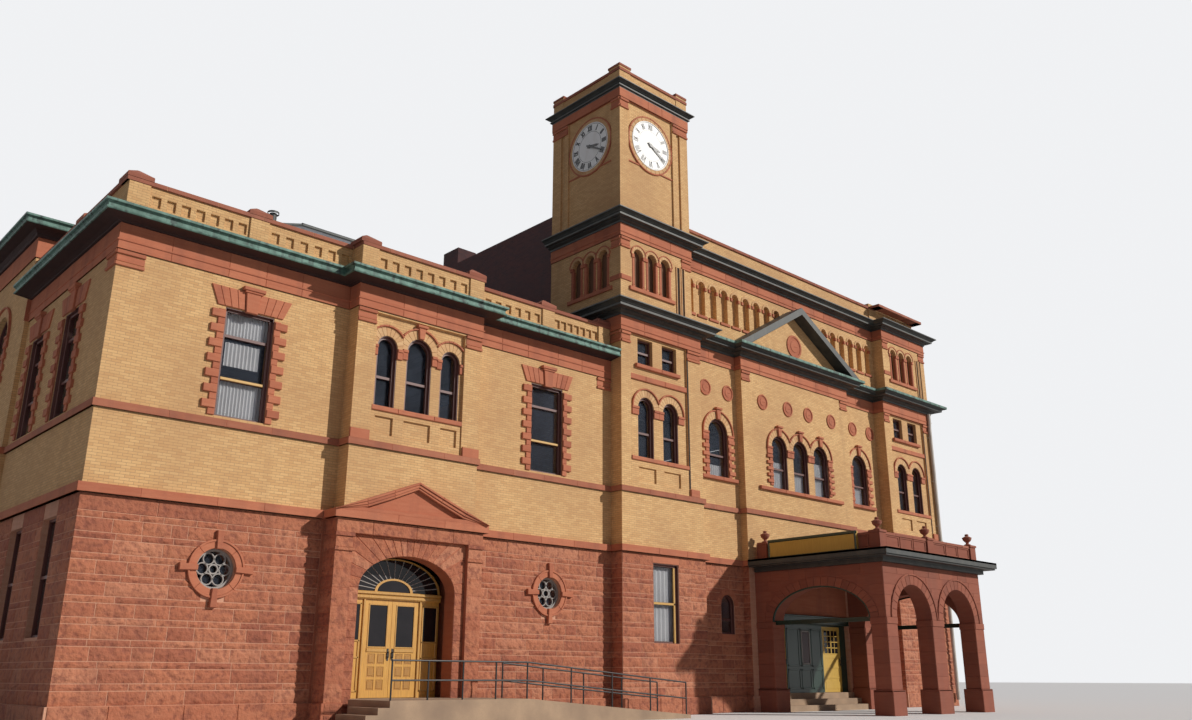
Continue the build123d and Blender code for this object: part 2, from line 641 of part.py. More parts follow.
hall_gutter = hall_side(
    cornice(hall_brick_plan, GUTTER_OUT, BED_OUT, BRICK_WALL, HALL_SOFFIT, HALL_BED, HALL_GUTTER)
)
hall_gutter = hall_gutter - beside_pav - box(WING_L - FRIEZE_OUT, FAR, -FAR, FAR, 0, FAR)
pav_gutter = cornice(
    [pav_rect], GUTTER_OUT, BED_OUT, BRICK_WALL, PAV_SOFFIT, PAV_SOFFIT + PAV_BED_TALL, PAV_GUTTER
)
pav_gutter = only(pav_gutter, -FAR, PAV_W, -FAR, FAR)
save("hall_gutter", hall_gutter, pav_gutter)
save(
    "theatre_cornice",
    cornice(stage_plan, STAGE_GUTTER_OUT, BED_OUT, BRICK_WALL, STAGE_SOFFIT, STAGE_BED, STAGE_GUTTER),
)

# parapet of the hall: recessed panels between piers with pyramid caps
CAP_OUT = 50
CAP_TALL = 100
CAP_TIP = 20
RECESS_HALF = 110
RECESS_IN = 60
RECESS_FROM = 290
RECESS_TO = 220
SIDE_PIER_Y = 3400
pier_top = HALL_GUTTER + PIER_TALL
pier_tip = pier_top + PIER_POINT_TALL


def pier(x, y):
    """A square parapet pier with its pyramid cap."""
    half = PIER / 2
    cap_half = half + CAP_OUT
    shaft = box(x - half, x + half, y - half, y + half, HALL_GUTTER, pier_top)
    cap = box(x - cap_half, x + cap_half, y - cap_half, y + cap_half, pier_top - CAP_TALL, pier_top)
    top = loft([
        Pos(x, y, pier_top) * Rectangle(2 * cap_half, 2 * cap_half),
        Pos(x, y, pier_tip) * Rectangle(CAP_TIP, CAP_TIP),
    ])
    return shaft + cap + top


# each pier with the number of recesses between it and the next
piers = [
    (PIER / 2, 7),
    (HALL_WINDOW_L - 25, 6),
    (bay_brick_left + 200, 8),
    (bay_brick_right - 250, 7),
    (HALL_W - HALL_WINDOW_R - 20, 7),
    (HALL_W - 330, 0),
]
parapet_plan = [hall_rect, bay_brick_rect]
parapet = hall_side(ring(parapet_plan, 0, PARAPET_WALL, HALL_GUTTER, HALL_COPING))
parapet = parapet + hall_side(
    ring(parapet_plan, COPING_OUT, PARAPET_WALL + COPING_OUT, HALL_COPING, HALL_COPING + COPING_TALL)
)
for x, count in piers:
    on_bay = bay_brick_left < x < bay_brick_right
    parapet = parapet + hall_side(pier(x, PIER / 2 - (BAY_BRICK_OUT if on_bay else 0)))
parapet = parapet + pier(PIER / 2, SIDE_PIER_Y)
for (x0, count), (x1, _) in zip(piers, piers[1:]):
    on_bay = bay_brick_left < x0 and x1 < bay_brick_right
    wall_y = -BAY_BRICK_OUT if on_bay else 0
    pitch = (x1 - x0 - PIER) / count
    for n in range(count):
        middle = x0 + PIER / 2 + (n + 0.5) * pitch
        parapet = parapet - box(
            middle - RECESS_HALF, middle + RECESS_HALF, wall_y - 1, wall_y + RECESS_IN,
            HALL_GUTTER + RECESS_FROM, HALL_COPING - RECESS_TO,
        )
beside_pav_gutter = box(-FAR, PAV_W + GUTTER_OUT, PAV_FRONT - GUTTER_OUT, FAR, HALL_GUTTER - 1, FAR)
parapet = parapet - beside_pav_gutter - stage_frieze
save("hall_parapet", parapet)


def hip(x0, x1, y0, y1, z0, z1, run0, run1):
    """A hipped roof: ridge along X, its ends cut back by run0 and run1."""
    middle = (y0 + y1) / 2
    gable = Plane.YZ * make_face(Polyline((y0, z0), (y1, z0), (middle, z1), close=True))
    gable = Pos(x0, 0, 0) * extrude(gable, x1 - x0)
    ends = prism([(x0, z0), (x1, z0), (x1 - run1, z1), (x0 + run0, z1)], y0, y1)
    return gable & ends


LEFT_HIP = 7000
RIGHT_HIP = 5900
PAV_HIP = 1900
PAV_EAVES = 300
ROOF_CLEAR = 30
roof = hip(
    PARAPET_WALL, HALL_W, PARAPET_WALL, HALL_D - PARAPET_WALL, HALL_GUTTER, RIDGE, LEFT_HIP, RIGHT_HIP
)
roof = roof - Pos(0, 0, -ROOF_T) * roof
roof = roof - box(-FAR, PAV_W, PAV_FRONT - ROOF_CLEAR, FAR, 0, FAR) - pav_gutter - parapet
pav_roof = hip(
    -PAV_OUT - PAV_EAVES, PAV_W, PAV_FRONT - PAV_EAVES, PAV_BACK + PAV_EAVES,
    PAV_GUTTER, PAV_GUTTER + PAV_ROOF_RISE, PAV_HIP, PAV_HIP,
)
pav_roof = pav_roof - Pos(0, 0, -ROOF_T) * pav_roof
save("hall_roof", roof, pav_roof)

# upper storey of the theatre
FRONT_PIER_W = 550
FRONT_PIER_OUT = 60
FRONT_PIER_MORE = 150
between_towers = (WING_L + TOWER_W, WING_R - TOWER_W)
arcade_pitch = (between_towers[1] - between_towers[0] - 2 * ARCADE_END) / (ARCADE_COUNT - 1)
triple = [TRIPLE_FROM + n * (2 * TRIPLE_HALF + TRIPLE_GAP) for n in range(3)]
upper = box(*between_towers, 0, BRICK_WALL, STAGE_GUTTER, UPPER_FRIEZE)
for n in range(ARCADE_COUNT):
    x = between_towers[0] + ARCADE_END + n * arcade_pitch
    upper = upper - round_head(x, ARCADE_HALF, ARCADE_FOOT, ARCADE_FOOT + ARCADE_TALL, -NICHE_IN, NICHE_IN)
save("upper_front_wall", upper)


def triple_niches(place, across):
    """Three blind arches side by side; across says where each one stands along its wall."""
    return [
        place * round_head(across(o), TRIPLE_HALF, TRIPLE_FOOT, TRIPLE_SPRING, -NICHE_IN, NICHE_IN) for o in triple
    ]


right_niches = triple_niches(front(-WING_OUT), lambda o: between_towers[1] + o)
save("upper_pavilion", ring([upper_right_rect], 0, BRICK_WALL, STAGE_GUTTER, UPPER_FRIEZE) - right_niches)
side_l = box(WING_L, WING_L + BRICK_WALL, TOWER_BACK, UPPER_D, STAGE_GUTTER, SIDE_WALL_TOP)
side_r = box(WING_R - BRICK_WALL, WING_R, TOWER_BACK, UPPER_D, STAGE_GUTTER, SIDE_WALL_TOP)
side_b = box(WING_L, WING_R, UPPER_D - BRICK_WALL, UPPER_D, STAGE_GUTTER, SIDE_WALL_TOP)
chimney = box(
    WING_L, WING_L + CHIMNEY_W, UPPER_D - CHIMNEY_D, UPPER_D, SIDE_WALL_TOP, SIDE_WALL_TOP + CHIMNEY_TALL
)
save("upper_side_walls", side_l + side_b + side_r + chimney)
upper_frieze = box(*between_towers, -FRIEZE_OUT, BRICK_WALL, UPPER_FRIEZE, UPPER_SOFFIT)
corner_friezes = []
for rect in (tower_rect, upper_right_rect):
    frieze = ring([rect], FRIEZE_OUT, BRICK_WALL, UPPER_FRIEZE, UPPER_SOFFIT)
    frieze = only(frieze, -FAR, FAR, -FAR, TOWER_BACK)
    corner_friezes.append(frieze - box(*between_towers, -FRIEZE_OUT, FAR, -FAR, FAR))
front_line = [(WING_L, WING_R, 0, BEHIND), tower_rect, upper_right_rect]
upper_cornice = cornice(front_line, UPPER_OUT, BED_OUT, BRICK_WALL, UPPER_SOFFIT, UPPER_BED, UPPER_GUTTER)
upper_cornice = only(upper_cornice, -FAR, FAR, -FAR, TOWER_BACK) - box(*between_towers, BRICK_WALL, FAR, 0, FAR)
upper_coping = UPPER_COPING + COPING_TALL
upper_parapet = box(between_towers[0], WING_R, 0, BRICK_WALL, UPPER_GUTTER, UPPER_COPING)
upper_parapet = upper_parapet + box(between_towers[0], WING_R, -COPING_OUT, BRICK_WALL, UPPER_COPING, upper_coping)
for x in (between_towers[1] - 2 * COPING_OUT, WING_R - FRONT_PIER_W):
    upper_parapet = upper_parapet + box(
        x, x + FRONT_PIER_W, -FRONT_PIER_OUT, BRICK_WALL, UPPER_GUTTER, upper_coping + FRONT_PIER_MORE
    )

# flat roofs of the theatre
inner_l = WING_L + BRICK_WALL
inner_r = WING_R - BRICK_WALL
roof_top = UPPER_GUTTER + SLAB
upper_roof = box(inner_l, inner_r, TOWER_BACK, UPPER_D - BRICK_WALL, UPPER_GUTTER, roof_top)
upper_roof = upper_roof + box(between_towers[0], inner_r, BRICK_WALL, TOWER_BACK, UPPER_GUTTER, roof_top)
rear_roof = box(WING_L, WING_R, UPPER_D, STAGE_D, STAGE_GUTTER, STAGE_GUTTER + SLAB)
clock_deck = plan([tower_rect], -BRICK_WALL, CLOCK_SOFFIT, CLOCK_SOFFIT + SLAB)
save("theatre_roof", upper_roof, rear_roof, clock_deck)

# gable over the middle of the front, with the sheet metal that caps it
gable_top = STAGE_GUTTER + GABLE_RISE
gable_slope = GABLE_RISE / CENTRE_HALF
rake_half = CENTRE_HALF + GABLE_OUT
gable_points = [(STAGE_X - CENTRE_HALF, STAGE_GUTTER), (STAGE_X + CENTRE_HALF, STAGE_GUTTER), (STAGE_X, gable_top)]
save("gable_wall", prism(gable_points, -CENTRE_OUT, 0))
rake_points = [
    (STAGE_X - rake_half, STAGE_GUTTER),
    (STAGE_X - CENTRE_HALF, STAGE_GUTTER),
    (STAGE_X, gable_top),
    (STAGE_X + CENTRE_HALF, STAGE_GUTTER),
    (STAGE_X + rake_half, STAGE_GUTTER),
    (STAGE_X, STAGE_GUTTER + gable_slope * rake_half),
]
save("gable_rake", prism(rake_points, -CENTRE_OUT - GABLE_OUT, 0))

# the tower
tower_niches = triple_niches(front(-WING_OUT), lambda o: WING_L + o)
tower_niches += triple_niches(left(WING_L), lambda o: WING_OUT - o)
tower_low = ring([tower_rect], 0, BRICK_WALL, STAGE_GUTTER, UPPER_FRIEZE) - tower_niches
clock_stage = ring([tower_rect], 0, BRICK_WALL, UPPER_GUTTER, CLOCK_FRIEZE)
panel_span = (CORNER_STRIP, TOWER_FACE_MID + CLOCK_PANEL_HALF)
groove_span = (CLOCK_GROOVE, CLOCK_GROOVE + CLOCK_GROOVE_W)
for a, b in (panel_span, groove_span):
    for place, start in ((front(-WING_OUT), WING_L), (left(WING_L), None)):
        across = (start + a, start + b) if start else (WING_OUT - b, WING_OUT - a)
        clock_stage = clock_stage - place * box(
            *across, -CLOCK_PANEL_IN, CLOCK_PANEL_IN, UPPER_GUTTER + CLOCK_PANEL_UP, CLOCK_FRIEZE
        )
save("tower_walls", tower_low, clock_stage)
clock_frieze = ring([tower_rect], FRIEZE_OUT, BRICK_WALL, CLOCK_FRIEZE, CLOCK_SOFFIT)
save("upper_friezes", upper_frieze + corner_friezes, clock_frieze)
clock_cornice = cornice(
    [tower_rect], CLOCK_OUT, CLOCK_BED_OUT, BRICK_WALL, CLOCK_SOFFIT, CLOCK_SOFFIT + CLOCK_BED_TALL, CLOCK_GUTTER
)
save("upper_cornices", upper_cornice, clock_cornice)

# parapet of the tower, with a low pier at each corner
CLOCK_WALL = 300
CLOCK_WALL_IN = 20
CLOCK_COPING_OUT = 20
CLOCK_COPING_WALL = 340
CLOCK_PIER = 560
CLOCK_PIER_MORE = 160
clock_parapet = ring([tower_rect], -CLOCK_WALL_IN, CLOCK_WALL, CLOCK_GUTTER, CLOCK_PARAPET)
clock_parapet = clock_parapet + ring([tower_rect], CLOCK_COPING_OUT, CLOCK_COPING_WALL, CLOCK_PARAPET, CLOCK_TOP)
for x in (tower_rect[0], tower_rect[1] - CLOCK_PIER):
    for y in (tower_rect[2], tower_rect[3] - CLOCK_PIER):
        clock_parapet = clock_parapet + box(
            x, x + CLOCK_PIER, y, y + CLOCK_PIER, CLOCK_GUTTER, CLOCK_TOP + CLOCK_PIER_MORE
        )
save("upper_parapets", upper_parapet, clock_parapet)

# dials and hands: the front and the left dial are the ones that show
DIAL_T = 40
HAND_GAP = 12
HAND_T = 10
ARBOR_R = 40
HUB_R = 70
SEAT = 0.3
HOUR_HAND = (520, 90, 120)
MINUTE_HAND = (800, 60, 160)
HAND_SHOULDER = 0.7
HOUR_ANGLE = 100
MINUTE_ANGLE = 120
dial_place = {
    "front": Pos(WING_L + TOWER_FACE_MID, -WING_OUT + CLOCK_PANEL_IN, DIAL_Z),
    "left": Pos(WING_L + CLOCK_PANEL_IN, -WING_OUT + TOWER_FACE_MID, DIAL_Z) * Rot(0, 0, -90),
    "right": Pos(WING_L + TOWER_W, TOWER_BACK - TOWER_FACE_MID, DIAL_Z) * Rot(0, 0, 90),
    "back": Pos(WING_L + TOWER_W - TOWER_FACE_MID, TOWER_BACK, DIAL_Z) * Rot(0, 0, 180),
}


def hand(size, near):
    """A pointer that reads twelve, this far off the dial, with a collar behind it as its seat."""
    length, width, tail = size
    y1 = -DIAL_T - near
    y0 = y1 - HAND_T
    half = width / 2
    shoulder = length * HAND_SHOULDER
    blade = prism([(-half, -tail), (half, -tail), (half, shoulder), (0, length), (-half, shoulder)], y0, y1)
    return blade + disc(0, 0, HUB_R, y0, y1) + disc(0, 0, ARBOR_R, y1, y1 + HAND_GAP - SEAT)


dials = []
fixed_hands = []
for name, place in dial_place.items():
    dials.append(place * disc(0, 0, DIAL_R, -DIAL_T, 0))
    hour = Rot(0, HOUR_ANGLE, 0) * hand(HOUR_HAND, HAND_GAP)
    minute = Rot(0, MINUTE_ANGLE, 0) * hand(MINUTE_HAND, HAND_GAP * 2 + HAND_T)
    if name in ("front", "left"):
        save(f"{name}_hour_hand", place * hour)
        save(f"{name}_minute_hand", place * minute)
    else:
        fixed_hands += [place * hour, place * minute]
save("clock_dials", *dials)
save("far_clock_hands", *fixed_hands)

# sandstone around the windows
TRIM = 40
QUOIN_LONG = 320
QUOIN_SHORT = 200
QUOIN_SHARE = 0.62
QUOIN_COUNT = 7
QUOIN_TOP_UNDER = 80
ARCH_ON_SASH = 20
FLAT_ARCH_TALL = 480
KEY_HALF = 150
KEY_OUT = 50
KEY_CAP_HALF = 280
KEY_CAP_OUT = 110
KEY_CAP_TALL = 90
SILL_OUT = 110
SILL_TALL = 130
stones = []


def quoins(place, x, half, z0, z1, count):
    """Long and short blocks up both sides of an opening."""
    pitch = (z1 - z0) / count
    for n in range(count):
        long = QUOIN_LONG if n % 2 == 0 else QUOIN_SHORT
        z = z0 + n * pitch
        stones.append(place * box(x - half - long, x - half, -TRIM, 0, z, z + pitch * QUOIN_SHARE))
        stones.append(place * box(x + half, x + half + long, -TRIM, 0, z, z + pitch * QUOIN_SHARE))


def flat_arch(place, x, half, z):
    """A splayed flat arch with a capped keystone."""
    top = z + FLAT_ARCH_TALL
    inner = KEY_HALF + 10
    foot = half + 220
    for side in (-1, 1):
        points = [(side * inner, z), (side * foot, z), (side * (foot + 200), top), (side * (inner + 40), top)]
        stones.append(place * prism([(x + u, w) for u, w in points], -TRIM, 0))
    key = prism(
        [(x - KEY_HALF, z - 60), (x + KEY_HALF, z - 60), (x + KEY_HALF + 40, top + 20), (x - KEY_HALF - 40, top + 20)],
        -TRIM - KEY_OUT,
        0,
    )
    cap = box(x - KEY_CAP_HALF, x + KEY_CAP_HALF, -TRIM - KEY_CAP_OUT, 0, top + 20, top + 20 + KEY_CAP_TALL)
    stones.append(place * (key + cap))


def arch_ring(place, x, half, spring, wide):
    """A half round hood with a keystone."""
    whole = disc(x, spring, half + wide, -TRIM, 0) - disc(x, spring, half, -TRIM - 1, 1)
    whole = whole & box(x - half - wide, x + half + wide, -TRIM, 0, spring, spring + half + wide)
    crown = spring + half
    key_top = crown + wide + 60
    key = prism([(x - 70, crown), (x + 70, crown), (x + 110, key_top), (x - 110, key_top)], -TRIM - 40, 0)
    stones.append(place * (whole + key))


def sill_stone(place, x0, x1, z):
    """A projecting sill."""
    stones.append(place * box(x0, x1, -SILL_OUT, 0, z - SILL_TALL, z))


quoined = [(front(0), x) for x in hall_windows] + [(left(0), -y) for y in SIDE_WINDOWS]
quoined += [(right(WING_R), y) for y in stage_side_windows]
for place, x in quoined:
    quoins(place, x, SASH_W / 2, SASH_FOOT, SASH_TOP - QUOIN_TOP_UNDER, QUOIN_COUNT)
for place, x in quoined + [(back(HALL_D), -x) for x in back_windows]:
    flat_arch(place, x, SASH_W / 2, SASH_TOP + ARCH_ON_SASH)
pav_wall = left(-PAV_OUT)
pav_sill_half = PAV_WINDOW_HALF + 350
quoins(pav_wall, -PAV_WINDOW_Y, PAV_WINDOW_HALF, pav_window_foot, pav_window_spring, QUOIN_COUNT)
arch_ring(pav_wall, -PAV_WINDOW_Y, PAV_WINDOW_HALF, pav_window_spring, 300)
sill_stone(pav_wall, -PAV_WINDOW_Y - pav_sill_half, -PAV_WINDOW_Y + pav_sill_half, pav_window_foot)
for x in oculi:
    stones.append(disc(x, oculus_z, OCULUS_RING, -TRIM, 0) - disc(x, oculus_z, OCULUS_R, -TRIM - 1, 1))
for x, half, spring in bay_windows:
    arch_ring(front(panel_y), x, half, spring, BAY_HOOD)
sill_stone(front(panel_y), BAY_X - PANEL_HALF, BAY_X + PANEL_HALF, BAY_SILL)
wing_y = -WING_OUT + WING_PANEL_IN
for x in wing_arches:
    arch_ring(front(wing_y), x, WING_ARCH_HALF, WING_ARCH_SPRING, WING_HOOD)
for x0 in wing_panels:
    x1 = x0 + WING_PANEL
    sill_stone(front(wing_y), x0, x1, WING_SILL)
    stones.append(front(wing_y) * box(x0, x1, -FOOT_OUT, 0, BAND_FOOT, BAND_FOOT + BAND_TALL))
    sill_stone(front(wing_y), x0 + 250, x1 - 350, SMALL_RECT_FOOT)
for x in recess_arches:
    quoins(front(0), x, RECESS_ARCH_HALF, WING_SILL, recess_arch_spring, 5)
    arch_ring(front(0), x, RECESS_ARCH_HALF, recess_arch_spring, RECESS_HOOD)
    sill_stone(front(0), x - RECESS_ARCH_HALF - 450, x + RECESS_ARCH_HALF + 450, WING_SILL)
for x in centre_arches:
    arch_ring(front(-CENTRE_OUT), x, CENTRE_ARCH_HALF, centre_arch_spring, CENTRE_HOOD)
centre_sill_half = CENTRE_OFF + CENTRE_ARCH_HALF + CENTRE_HOOD + 680
sill_stone(front(-CENTRE_OUT), STAGE_X - centre_sill_half, STAGE_X + centre_sill_half, CENTRE_SILL)
for x in mirrored([CENTRE_OFF / 2, CENTRE_OFF + OUTER_MEDALLION]):
    stones.append(
        disc(x, STAGE_FRIEZE - CENTRE_MEDALLION_UNDER, MEDALLION_R, -CENTRE_OUT - TRIM, -CENTRE_OUT)
    )
for x in mirrored([RECESS_ARCH_OFF - RECESS_MEDALLION_OFF, RECESS_ARCH_OFF + RECESS_MEDALLION_OFF]):
    stones.append(disc(x, STAGE_FRIEZE - RECESS_MEDALLION_UNDER, MEDALLION_R, -TRIM, 0))
stones.append(
    disc(STAGE_X, STAGE_GUTTER + GABLE_MEDALLION_UP, GABLE_MEDALLION_R, -CENTRE_OUT - TRIM, -CENTRE_OUT)
)
for place in (dial_place["front"], dial_place["left"]):
    stones.append(place * (disc(0, 0, DIAL_RING, -TRIM, 0) - disc(0, 0, DIAL_R + 1, -TRIM - 1, 1)))
save("window_stone", *stones)

# sashes and glass
GLASS_BACK = 200
GLASS_T = 12
FRAME_T = 70
STILE = 60
BAR = 70
MEETING_RAIL_AT = 0.5
HALL_RAILS_AT = [0.35, 0.75]
sashes = []
panes = []


def sash(place, x, half, z0, top, round_top=False, rails=(MEETING_RAIL_AT,)):
    """A window frame with its rails and its sheet of glass; a round one has its spring as top."""
    shape = round_head if round_top else box_window
    y0 = GLASS_BACK - FRAME_T
    frame = shape(x, half, z0, top, y0, GLASS_BACK)
    inner_top = top if round_top else top - STILE
    frame = frame - shape(x, half - STILE, z0 + STILE, inner_top, y0 - 1, GLASS_BACK + 1)
    for share in rails:
        low = z0 + (top - z0) * share - BAR / 2
        frame = frame + box(x - half + 1, x + half - 1, y0, GLASS_BACK, low, low + BAR)
    sashes.append(place * frame)
    panes.append(place * shape(x, half, z0, top, GLASS_BACK, GLASS_BACK + GLASS_T))


def box_window(x, half, z0, z1, y0, y1):
    """The shape of a window with a square head."""
    return box(x - half, x + half, y0, y1, z0, z1)


for x in hall_windows:
    sash(front(0), x, SASH_W / 2, SASH_FOOT, SASH_TOP, rails=HALL_RAILS_AT)
for x in oculi:
    panes.append(disc(x, oculus_z, OCULUS_R, GLASS_BACK, GLASS_BACK + GLASS_T))
for y in SIDE_WINDOWS:
    sash(left(0), -y, SASH_W / 2, SASH_FOOT, SASH_TOP, rails=HALL_RAILS_AT)
for y in SIDE_STONE_WINDOWS:
    sash(left(0), -y, SIDE_STONE_HALF, side_stone_foot, side_stone_top)
sash(pav_wall, -PAV_WINDOW_Y, SIDE_STONE_HALF, side_stone_foot, side_stone_top)
sash(pav_wall, -PAV_WINDOW_Y, PAV_WINDOW_HALF, pav_window_foot, pav_window_spring, round_top=True)
for x in back_windows:
    sash(back(HALL_D), -x, SASH_W / 2, SASH_FOOT, SASH_TOP)
for y in stage_side_windows:
    sash(right(WING_R), y, SASH_W / 2, SASH_FOOT, SASH_TOP)
for y in stage_stone_windows:
    sash(right(WING_R), y, SIDE_STONE_HALF, side_stone_foot, side_stone_top)
for x, half, spring in bay_windows:
    sash(front(panel_y), x, half, BAY_SILL, spring, round_top=True)
for x in stone_windows:
    sash(front(-WING_OUT), x, STONE_WINDOW_HALF, stone_window_foot, stone_window_top)
for x in small_arches:
    sash(front(0), x, SMALL_ARCH_HALF, small_arch_foot, small_arch_spring, round_top=True)
for x in wing_arches:
    sash(front(wing_y), x, SMALL_RECT_W / 2, SMALL_RECT_FOOT, SMALL_RECT_TOP)
    sash(front(wing_y), x, WING_ARCH_HALF, WING_SILL, WING_ARCH_SPRING, round_top=True)
for x in recess_arches:
    sash(front(0), x, RECESS_ARCH_HALF, WING_SILL, recess_arch_spring, round_top=True)
for x in centre_arches:
    sash(front(-CENTRE_OUT), x, CENTRE_ARCH_HALF, CENTRE_SILL, centre_arch_spring, round_top=True)
save("window_sashes", *sashes)
save("window_glass", *panes)

# entrance doors of the hall, hung on barrels in their frame
DOOR_Y = 200
DOOR_FRAME_T = 150
TRANSOM_OUT = 60
LEAF_W = 800
LEAF_T = 50
LEAF_GAP = 6
LEAF_UP = 10
MEET_GAP = 10
GLASS_UP = 1230
FAN_T = 60
BARREL_R = 12
BARREL_TALL = 120
BARRELS = [250, 1200, 2100]
LEAF_STILE = 130
LEAF_PANEL_FOOT = 150
LEAF_PANEL_ROWS = 3
GLASS_IN = 15
PANEL_SUNK = 12


def barrels(x, y, r):
    """The hinge barrels of one leaf, at its edge; with a wider radius, the room cut for them."""
    tall = BARREL_TALL + 2 * (r - BARREL_R)
    return [Pos(x, y, FLOOR + up) * Cylinder(r, tall) for up in BARRELS]


def leaf(x0, x1, y, top, glass_from, columns, hinge):
    """A door leaf with a glazed upper panel and sunk panels below, cut away at its hinge barrels."""
    foot = FLOOR + LEAF_UP
    whole = box(x0, x1, y, y + LEAF_T, foot, top)
    whole = whole - box(x0 + LEAF_STILE, x1 - LEAF_STILE, y - 1, y + GLASS_IN, glass_from, top - LEAF_STILE)
    step = (glass_from - LEAF_STILE - foot - LEAF_PANEL_FOOT) / LEAF_PANEL_ROWS
    cell = (x1 - x0 - 2 * LEAF_STILE) / columns
    for r in range(LEAF_PANEL_ROWS):
        for c in range(columns):
            a = x0 + LEAF_STILE + c * cell
            low = foot + LEAF_PANEL_FOOT + r * step
            whole = whole - box(a + 25, a + cell - 25, y - 1, y + PANEL_SUNK, low + 30, low + step - 30)
    return whole - barrels(hinge, y, BARREL_R + SEAT)


hinge_l = BAY_X - LEAF_W
hinge_r = BAY_X + LEAF_W
frame_back = DOOR_Y + DOOR_FRAME_T
door_top = LEAF_TOP + LEAF_GAP
door_frame = box(BAY_X - ARCH_HALF, hinge_l - LEAF_GAP, DOOR_Y, frame_back, FLOOR, door_top)
door_frame = door_frame + box(hinge_r + LEAF_GAP, BAY_X + ARCH_HALF, DOOR_Y, frame_back, FLOOR, door_top)
door_frame = door_frame + box(
    BAY_X - ARCH_HALF, BAY_X + ARCH_HALF, DOOR_Y - TRANSOM_OUT, frame_back, door_top, ARCH_SPRING
)
door_frame = door_frame + barrels(hinge_l, DOOR_Y, BARREL_R) + barrels(hinge_r, DOOR_Y, BARREL_R)
save("entrance_frame", door_frame)
fan = oval_head(BAY_X, ARCH_HALF, ARCH_SPRING - 1, ARCH_SPRING, ARCH_RISE, DOOR_Y, DOOR_Y + FAN_T)
save("entrance_fanlight", between(fan, ARCH_SPRING, ARCH_SPRING + ARCH_RISE))
glass_from = FLOOR + GLASS_UP
half_gap = MEET_GAP / 2
save("entrance_leaf_left", leaf(hinge_l, BAY_X - half_gap, DOOR_Y, LEAF_TOP, glass_from, 2, hinge_l))
save("entrance_leaf_right", leaf(BAY_X + half_gap, hinge_r, DOOR_Y, LEAF_TOP, glass_from, 2, hinge_r))

# landing, steps and ramp
LAND_BEFORE = 1600
LAND_AFTER = 2400
LAND_FRONT = -2500
RAMP_BACK = -1200
RAMP_LONG = 6000
RAMP_LOW = 100
TREAD = 300
STEPS = 3
land_l = BAY_X - LAND_BEFORE
land_r = BAY_X + LAND_AFTER
ramp_end = land_r + RAMP_LONG
landing = box(land_l, land_r, LAND_FRONT, -BAY_STONE_OUT - FOOT_OUT, 0, FLOOR)
landing = landing + prism(
    [(land_r, 0), (ramp_end, 0), (ramp_end, RAMP_LOW), (land_r, FLOOR)], LAND_FRONT, RAMP_BACK
)
for n in range(1, STEPS + 1):
    rise = FLOOR - n * FLOOR / (STEPS + 1)
    landing = landing + box(land_l - n * TREAD, land_l, LAND_FRONT, RAMP_BACK, 0, rise)
save("entrance_landing", landing)

# pipe railings
PIPE = 21
RAIL = 870
RAIL_IN = 80
RAIL_END = 100
POST_IN = 50


def pipe(a, b):
    """A round bar from one point to another."""
    start = Vector(*a)
    run = Vector(*b) - start
    return Solid.make_cylinder(PIPE, run.length, Plane(origin=start, z_dir=run))


def walk_height(x):
    """The height of the landing or the ramp at a place along the front."""
    if x <= land_r:
        return FLOOR
    return FLOOR - (FLOOR - RAMP_LOW) * (x - land_r) / RAMP_LONG


def evenly(a, b, count):
    """Places from a to b in equal steps."""
    return [a + (b - a) * n / count for n in range(count + 1)]


def railing(y, stops):
    """Posts with a top rail and a middle rail."""
    bars = [pipe((x, y, walk_height(x)), (x, y, walk_height(x) + RAIL)) for x in stops]
    for x0, x1 in zip(stops, stops[1:]):
        for up in (RAIL, RAIL / 2):
            bars.append(pipe((x0, y, walk_height(x0) + up), (x1, y, walk_height(x1) + up)))
    whole = bars[0]
    for piece in bars[1:]:
        whole = whole + piece
    return whole - landing


ramp_posts = evenly(land_r, ramp_end - RAIL_END, 4)
front_rail = railing(LAND_FRONT + RAIL_IN, evenly(land_l + POST_IN, land_r, 4) + ramp_posts[1:])
back_rail = railing(RAMP_BACK - RAIL_IN, [land_r + RAIL_END] + ramp_posts[1:])
save("landing_railing", front_rail, back_rail)

# the portico: five piers, arches over them, cornice, parapet and urns
port_l = STAGE_X - PORT_HALF
port_r = STAGE_X + PORT_HALF
rear_front = -CENTRE_OUT - REAR_PIER
inner_front = -PORT_OUT + PIER_DEEP
pier_spots = [
    (port_l, port_l + PORT_CORNER, -PORT_OUT, inner_front),
    (STAGE_X - CENTRE_PIER_HALF, STAGE_X + CENTRE_PIER_HALF, -PORT_OUT, inner_front),
    (port_r - PORT_CORNER, port_r, -PORT_OUT, inner_front),
    (port_l, port_l + PORT_CORNER, rear_front, -CENTRE_OUT),
    (port_r - PORT_CORNER, port_r, rear_front, -CENTRE_OUT),
]
port_piers = []
for a, b, c, d in pier_spots:
    plinth_back = min(d + PLINTH_OUT, -CENTRE_OUT)
    plinth = box(a - PLINTH_OUT, b + PLINTH_OUT, c - PLINTH_OUT, plinth_back, 0, PLINTH)
    port_piers.append(box(a, b, c, d, 0, PORT_SPRING) + plinth)
save("portico_piers", *port_piers)
shell = box(port_l, port_r, -PORT_OUT, inner_front, PORT_SPRING, PORT_TOP)
for x in (STAGE_X - PORT_ARCH_OFF, STAGE_X + PORT_ARCH_OFF):
    shell = shell - disc(x, PORT_SPRING, PORT_ARCH_R, -PORT_OUT - 1, inner_front + 1)
for x in (port_l, port_r - PORT_CORNER):
    side_wall = box(x, x + PORT_CORNER, -PORT_OUT, -CENTRE_OUT, PORT_SPRING, PORT_TOP)
    side_oval = extrude(Plane.YZ * Ellipse(SIDE_ARCH_HALF, SIDE_ARCH_RISE), PORT_CORNER + 2)
    shell = shell + (side_wall - Pos(x - 1, SIDE_ARCH_Y, PORT_SPRING) * side_oval)
